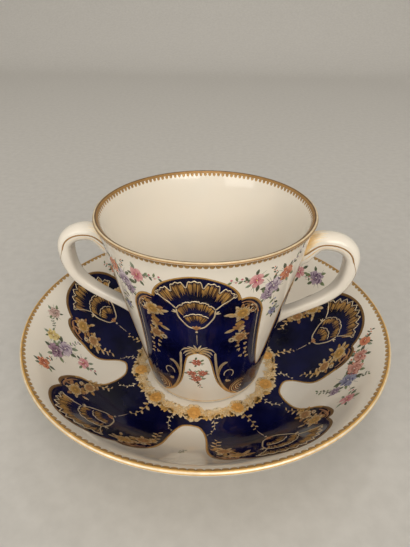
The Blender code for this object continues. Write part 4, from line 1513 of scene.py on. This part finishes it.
# Handles' gilding: the softer honey gold, brushed on in a line along both edges of each strap, drawn
# together down its back, and one round each root. A wash of strokes fades out over the strap's top.
STRAP_LINE_TURN = math.radians(-2)
STRAP_LINE_LOWER_TURN = math.radians(56)
STRAP_LINE_WIDTH = 0.32
# The short pale line beside each edge line is a painted highlight
HIGHLIGHT_LINE_TURN = math.radians(-13)
HIGHLIGHT_LINE_LENGTH = 0.42
STRAP_LINE_STEPS = 90
HIGHLIGHT_LINE_STEPS = 40
# Where the two lines draw together, as shares of the way down from the crest to the lower root
CLOSING_START = 0.18
CLOSING_RUN = 0.24
ROOT_LINE_WIDTH = 0.8
# The line round a root: shares of its width from the wall, each with its lift
ROOT_LINE = ((-0.1, -SINK), (0.1, GILD_RISE), (0.8, GILD_RISE), (1.0, -SINK))
ROOT_STROKES = 52
ROOT_STROKE_LENGTH = (2.5, 8.0)
ROOT_STROKE_WIDTH = 0.6
ROOT_STROKE_START = 0.2
strap_turns = math.tau * np.arange(STRAP_POINTS) / STRAP_POINTS


class StrapFace:
    """A handle's skin to paint on: an angle round its section and a measure along it in rings."""

    def __init__(self, rings):
        self.rings = np.concatenate((rings, rings[:, :1]), axis=1)
        normal = np.cross(np.gradient(self.rings, axis=1), np.gradient(self.rings, axis=0))
        normal = normal / np.linalg.norm(normal, axis=2)[:, :, None]
        from_middle = self.rings - self.rings.mean(axis=1, keepdims=True)
        self.normal = normal * np.sign((from_middle * normal).sum(axis=2).mean())

    def point(self, angle, along, lift):
        row = np.clip(along, 0, len(self.rings) - 1.001)
        column = np.clip(np.mod(angle, math.tau) / math.tau * STRAP_POINTS, 0, STRAP_POINTS - 0.001)
        r, c = row.astype(int), column.astype(int)
        row_share, column_share = (row - r)[:, None], (column - c)[:, None]
        spots = []
        for grid in (self.rings, self.normal):
            near = grid[r, c] * (1 - row_share) + grid[r + 1, c] * row_share
            far = grid[r, c + 1] * (1 - row_share) + grid[r + 1, c + 1] * row_share
            spots.append(near * (1 - column_share) + far * column_share)
        return spots[0] + spots[1] * np.reshape(lift, (-1, 1))


def root_rings(face, from_start):
    """Where each line along the strap leaves the cup's wall, counted in rings."""
    x, y, z = np.moveaxis(face.rings[:, :-1], 2, 0)
    clear = np.hypot(x, y) - cup_radius(z - cup_seat)
    if not from_start:
        clear = clear[::-1]
    after = (clear > 0).argmax(axis=0)
    columns = np.arange(STRAP_POINTS)
    low, high = clear[after - 1, columns], clear[after, columns]
    place = after - 1 + low / (low - high)
    return place if from_start else len(face.rings) - 1 - place


def round_strap(turn):
    """A turn round the strap's section, as millimetres across its widest part."""
    return turn * HANDLE_WIDTH / 2 / MILLIMETRE


def gild_root(art, from_start):
    """A line round one root of a strap and, at the upper one, a wash of strokes that start from it."""
    face = art.face
    way = 1 if from_start else -1
    roots = root_rings(face, from_start)
    here = face.point(strap_turns, roots, np.zeros(STRAP_POINTS))
    ahead = face.point(strap_turns, roots + way, np.zeros(STRAP_POINTS))
    ring_step = way * MILLIMETRE / np.linalg.norm(ahead - here, axis=1)
    for stroke in range(ROOT_STROKES if from_start else 0):
        turn = math.pi * (stroke + gilder.uniform(0.0, 1.0)) / ROOT_STROKES
        root = np.interp(turn, strap_turns, roots)
        step = np.interp(turn, strap_turns, ring_step)
        art.ray(lambda x, y: (turn + x * MILLIMETRE / HANDLE_CROWN, root + y * step), 0.0, ROOT_STROKE_START,
                math.pi / 2, gilder.uniform(*ROOT_STROKE_LENGTH), ROOT_STROKE_WIDTH, tail_shape, WASH,
                0.7 * GILD_RISE)
    rails = []
    for reach, lift in ROOT_LINE:
        rails.append(np.column_stack((strap_turns, roots + reach * ROOT_LINE_WIDTH * ring_step,
                                      np.full(STRAP_POINTS, lift))))
    tint = GOLD_PALE if from_start else GOLD_PLAIN
    art.ridge(rails, [np.tile(tint, (STRAP_POINTS, 1))] * len(ROOT_LINE), True)


def gild_side(art, base, hand):
    """The dark line along one edge of a strap and, beside it, a short pale line that is a painted highlight.
    """
    def seat(x, row):
        return base + hand * (x * MILLIMETRE / (HANDLE_WIDTH / 2)), row

    def root(turn, from_start):
        return np.interp(base + hand * turn, strap_turns, root_rings(art.face, from_start), period=math.tau)

    heights = art.face.rings[:, :-1, 2].mean(axis=1) - cup_seat
    rows = np.linspace(root(STRAP_LINE_TURN, True), root(STRAP_LINE_LOWER_TURN, False), STRAP_LINE_STEPS)
    row_heights = np.interp(rows, np.arange(len(heights)), heights)
    fallen = (handle_crest - row_heights) / (handle_crest - handle_foot)
    share = np.clip((fallen - CLOSING_START) / CLOSING_RUN, 0.0, 1.0)
    share = share ** 2 * (3 - 2 * share)
    turn = STRAP_LINE_TURN + share * (STRAP_LINE_LOWER_TURN - STRAP_LINE_TURN)
    art.stroke(seat, np.column_stack((round_strap(turn), rows)), STRAP_LINE_WIDTH, line_shape, GOLD_DULL,
               edge=GOLD_BROWN)
    first = root(HIGHLIGHT_LINE_TURN, True)
    rows = np.linspace(first, first + HIGHLIGHT_LINE_LENGTH * len(heights), HIGHLIGHT_LINE_STEPS)
    turn = np.full(HIGHLIGHT_LINE_STEPS, HIGHLIGHT_LINE_TURN)
    art.stroke(seat, np.column_stack((round_strap(turn), rows)), STRAP_LINE_WIDTH, tail_shape, LIGHT)


for side, handle_name in HANDLES:
    strap_gold = Brushwork(StrapFace(strap_rings(side)))
    for from_start in (True, False):
        gild_root(strap_gold, from_start)
    for base, hand in ((0.0, 1), (math.pi, -1)):
        gild_side(strap_gold, base, hand)
    settle(strap_gold.piece(handle_name + "_gilding"), "cup", honey_finish)

# Cup's flower sprays: the same enamels, painted freehand on the white above the blue at both sides
# of each panel and in the bells at its foot, and fired once more at a low heat.
CUP_SPRAY = (
    ((20.6, 69.4, 6.2, PINK, open_flower), (34.0, 67.4, 6.8, RED, full_flower),
     (25.6, 60.8, 5.2, PURPLE, full_flower), (28.2, 64.0, 7.8, LILAC, full_flower),
     (29.8, 50.0, 4.4, BLUE, open_flower)),
    ((19.0, 70.0, 2.9, 7.0, PINK), (29.0, 59.0, -1.4, 9.0, BLUE), (36.0, 69.5, 0.6, 8.0, PURPLE),
     (29.0, 68.0, 1.8, 5.0, RED)),
)
BELL_SPRAY = (
    ((-0.6, 29.0, 4.0, BELL_RED, full_flower), (-2.6, 21.4, 3.8, BELL_RED, full_flower),
     (1.6, 22.0, 3.8, BELL_RED, full_flower), (-1.0, 18.2, 4.4, BELL_RED, full_flower)),
    ((-0.5, 17.0, -1.5, 4.5, BELL_RED),),
)
cup_enamels = Brushwork(cup_face)
for axis in (FRONT, BACK):
    for hand in (-1, 1):
        spray(cup_enamels, cup_enamels.seat(axis, hand=hand), *CUP_SPRAY)
    spray(cup_enamels, cup_enamels.seat(axis), *BELL_SPRAY)
settle(cup_enamels.piece("cup_flower_sprays"), "cup", enamel_finish)
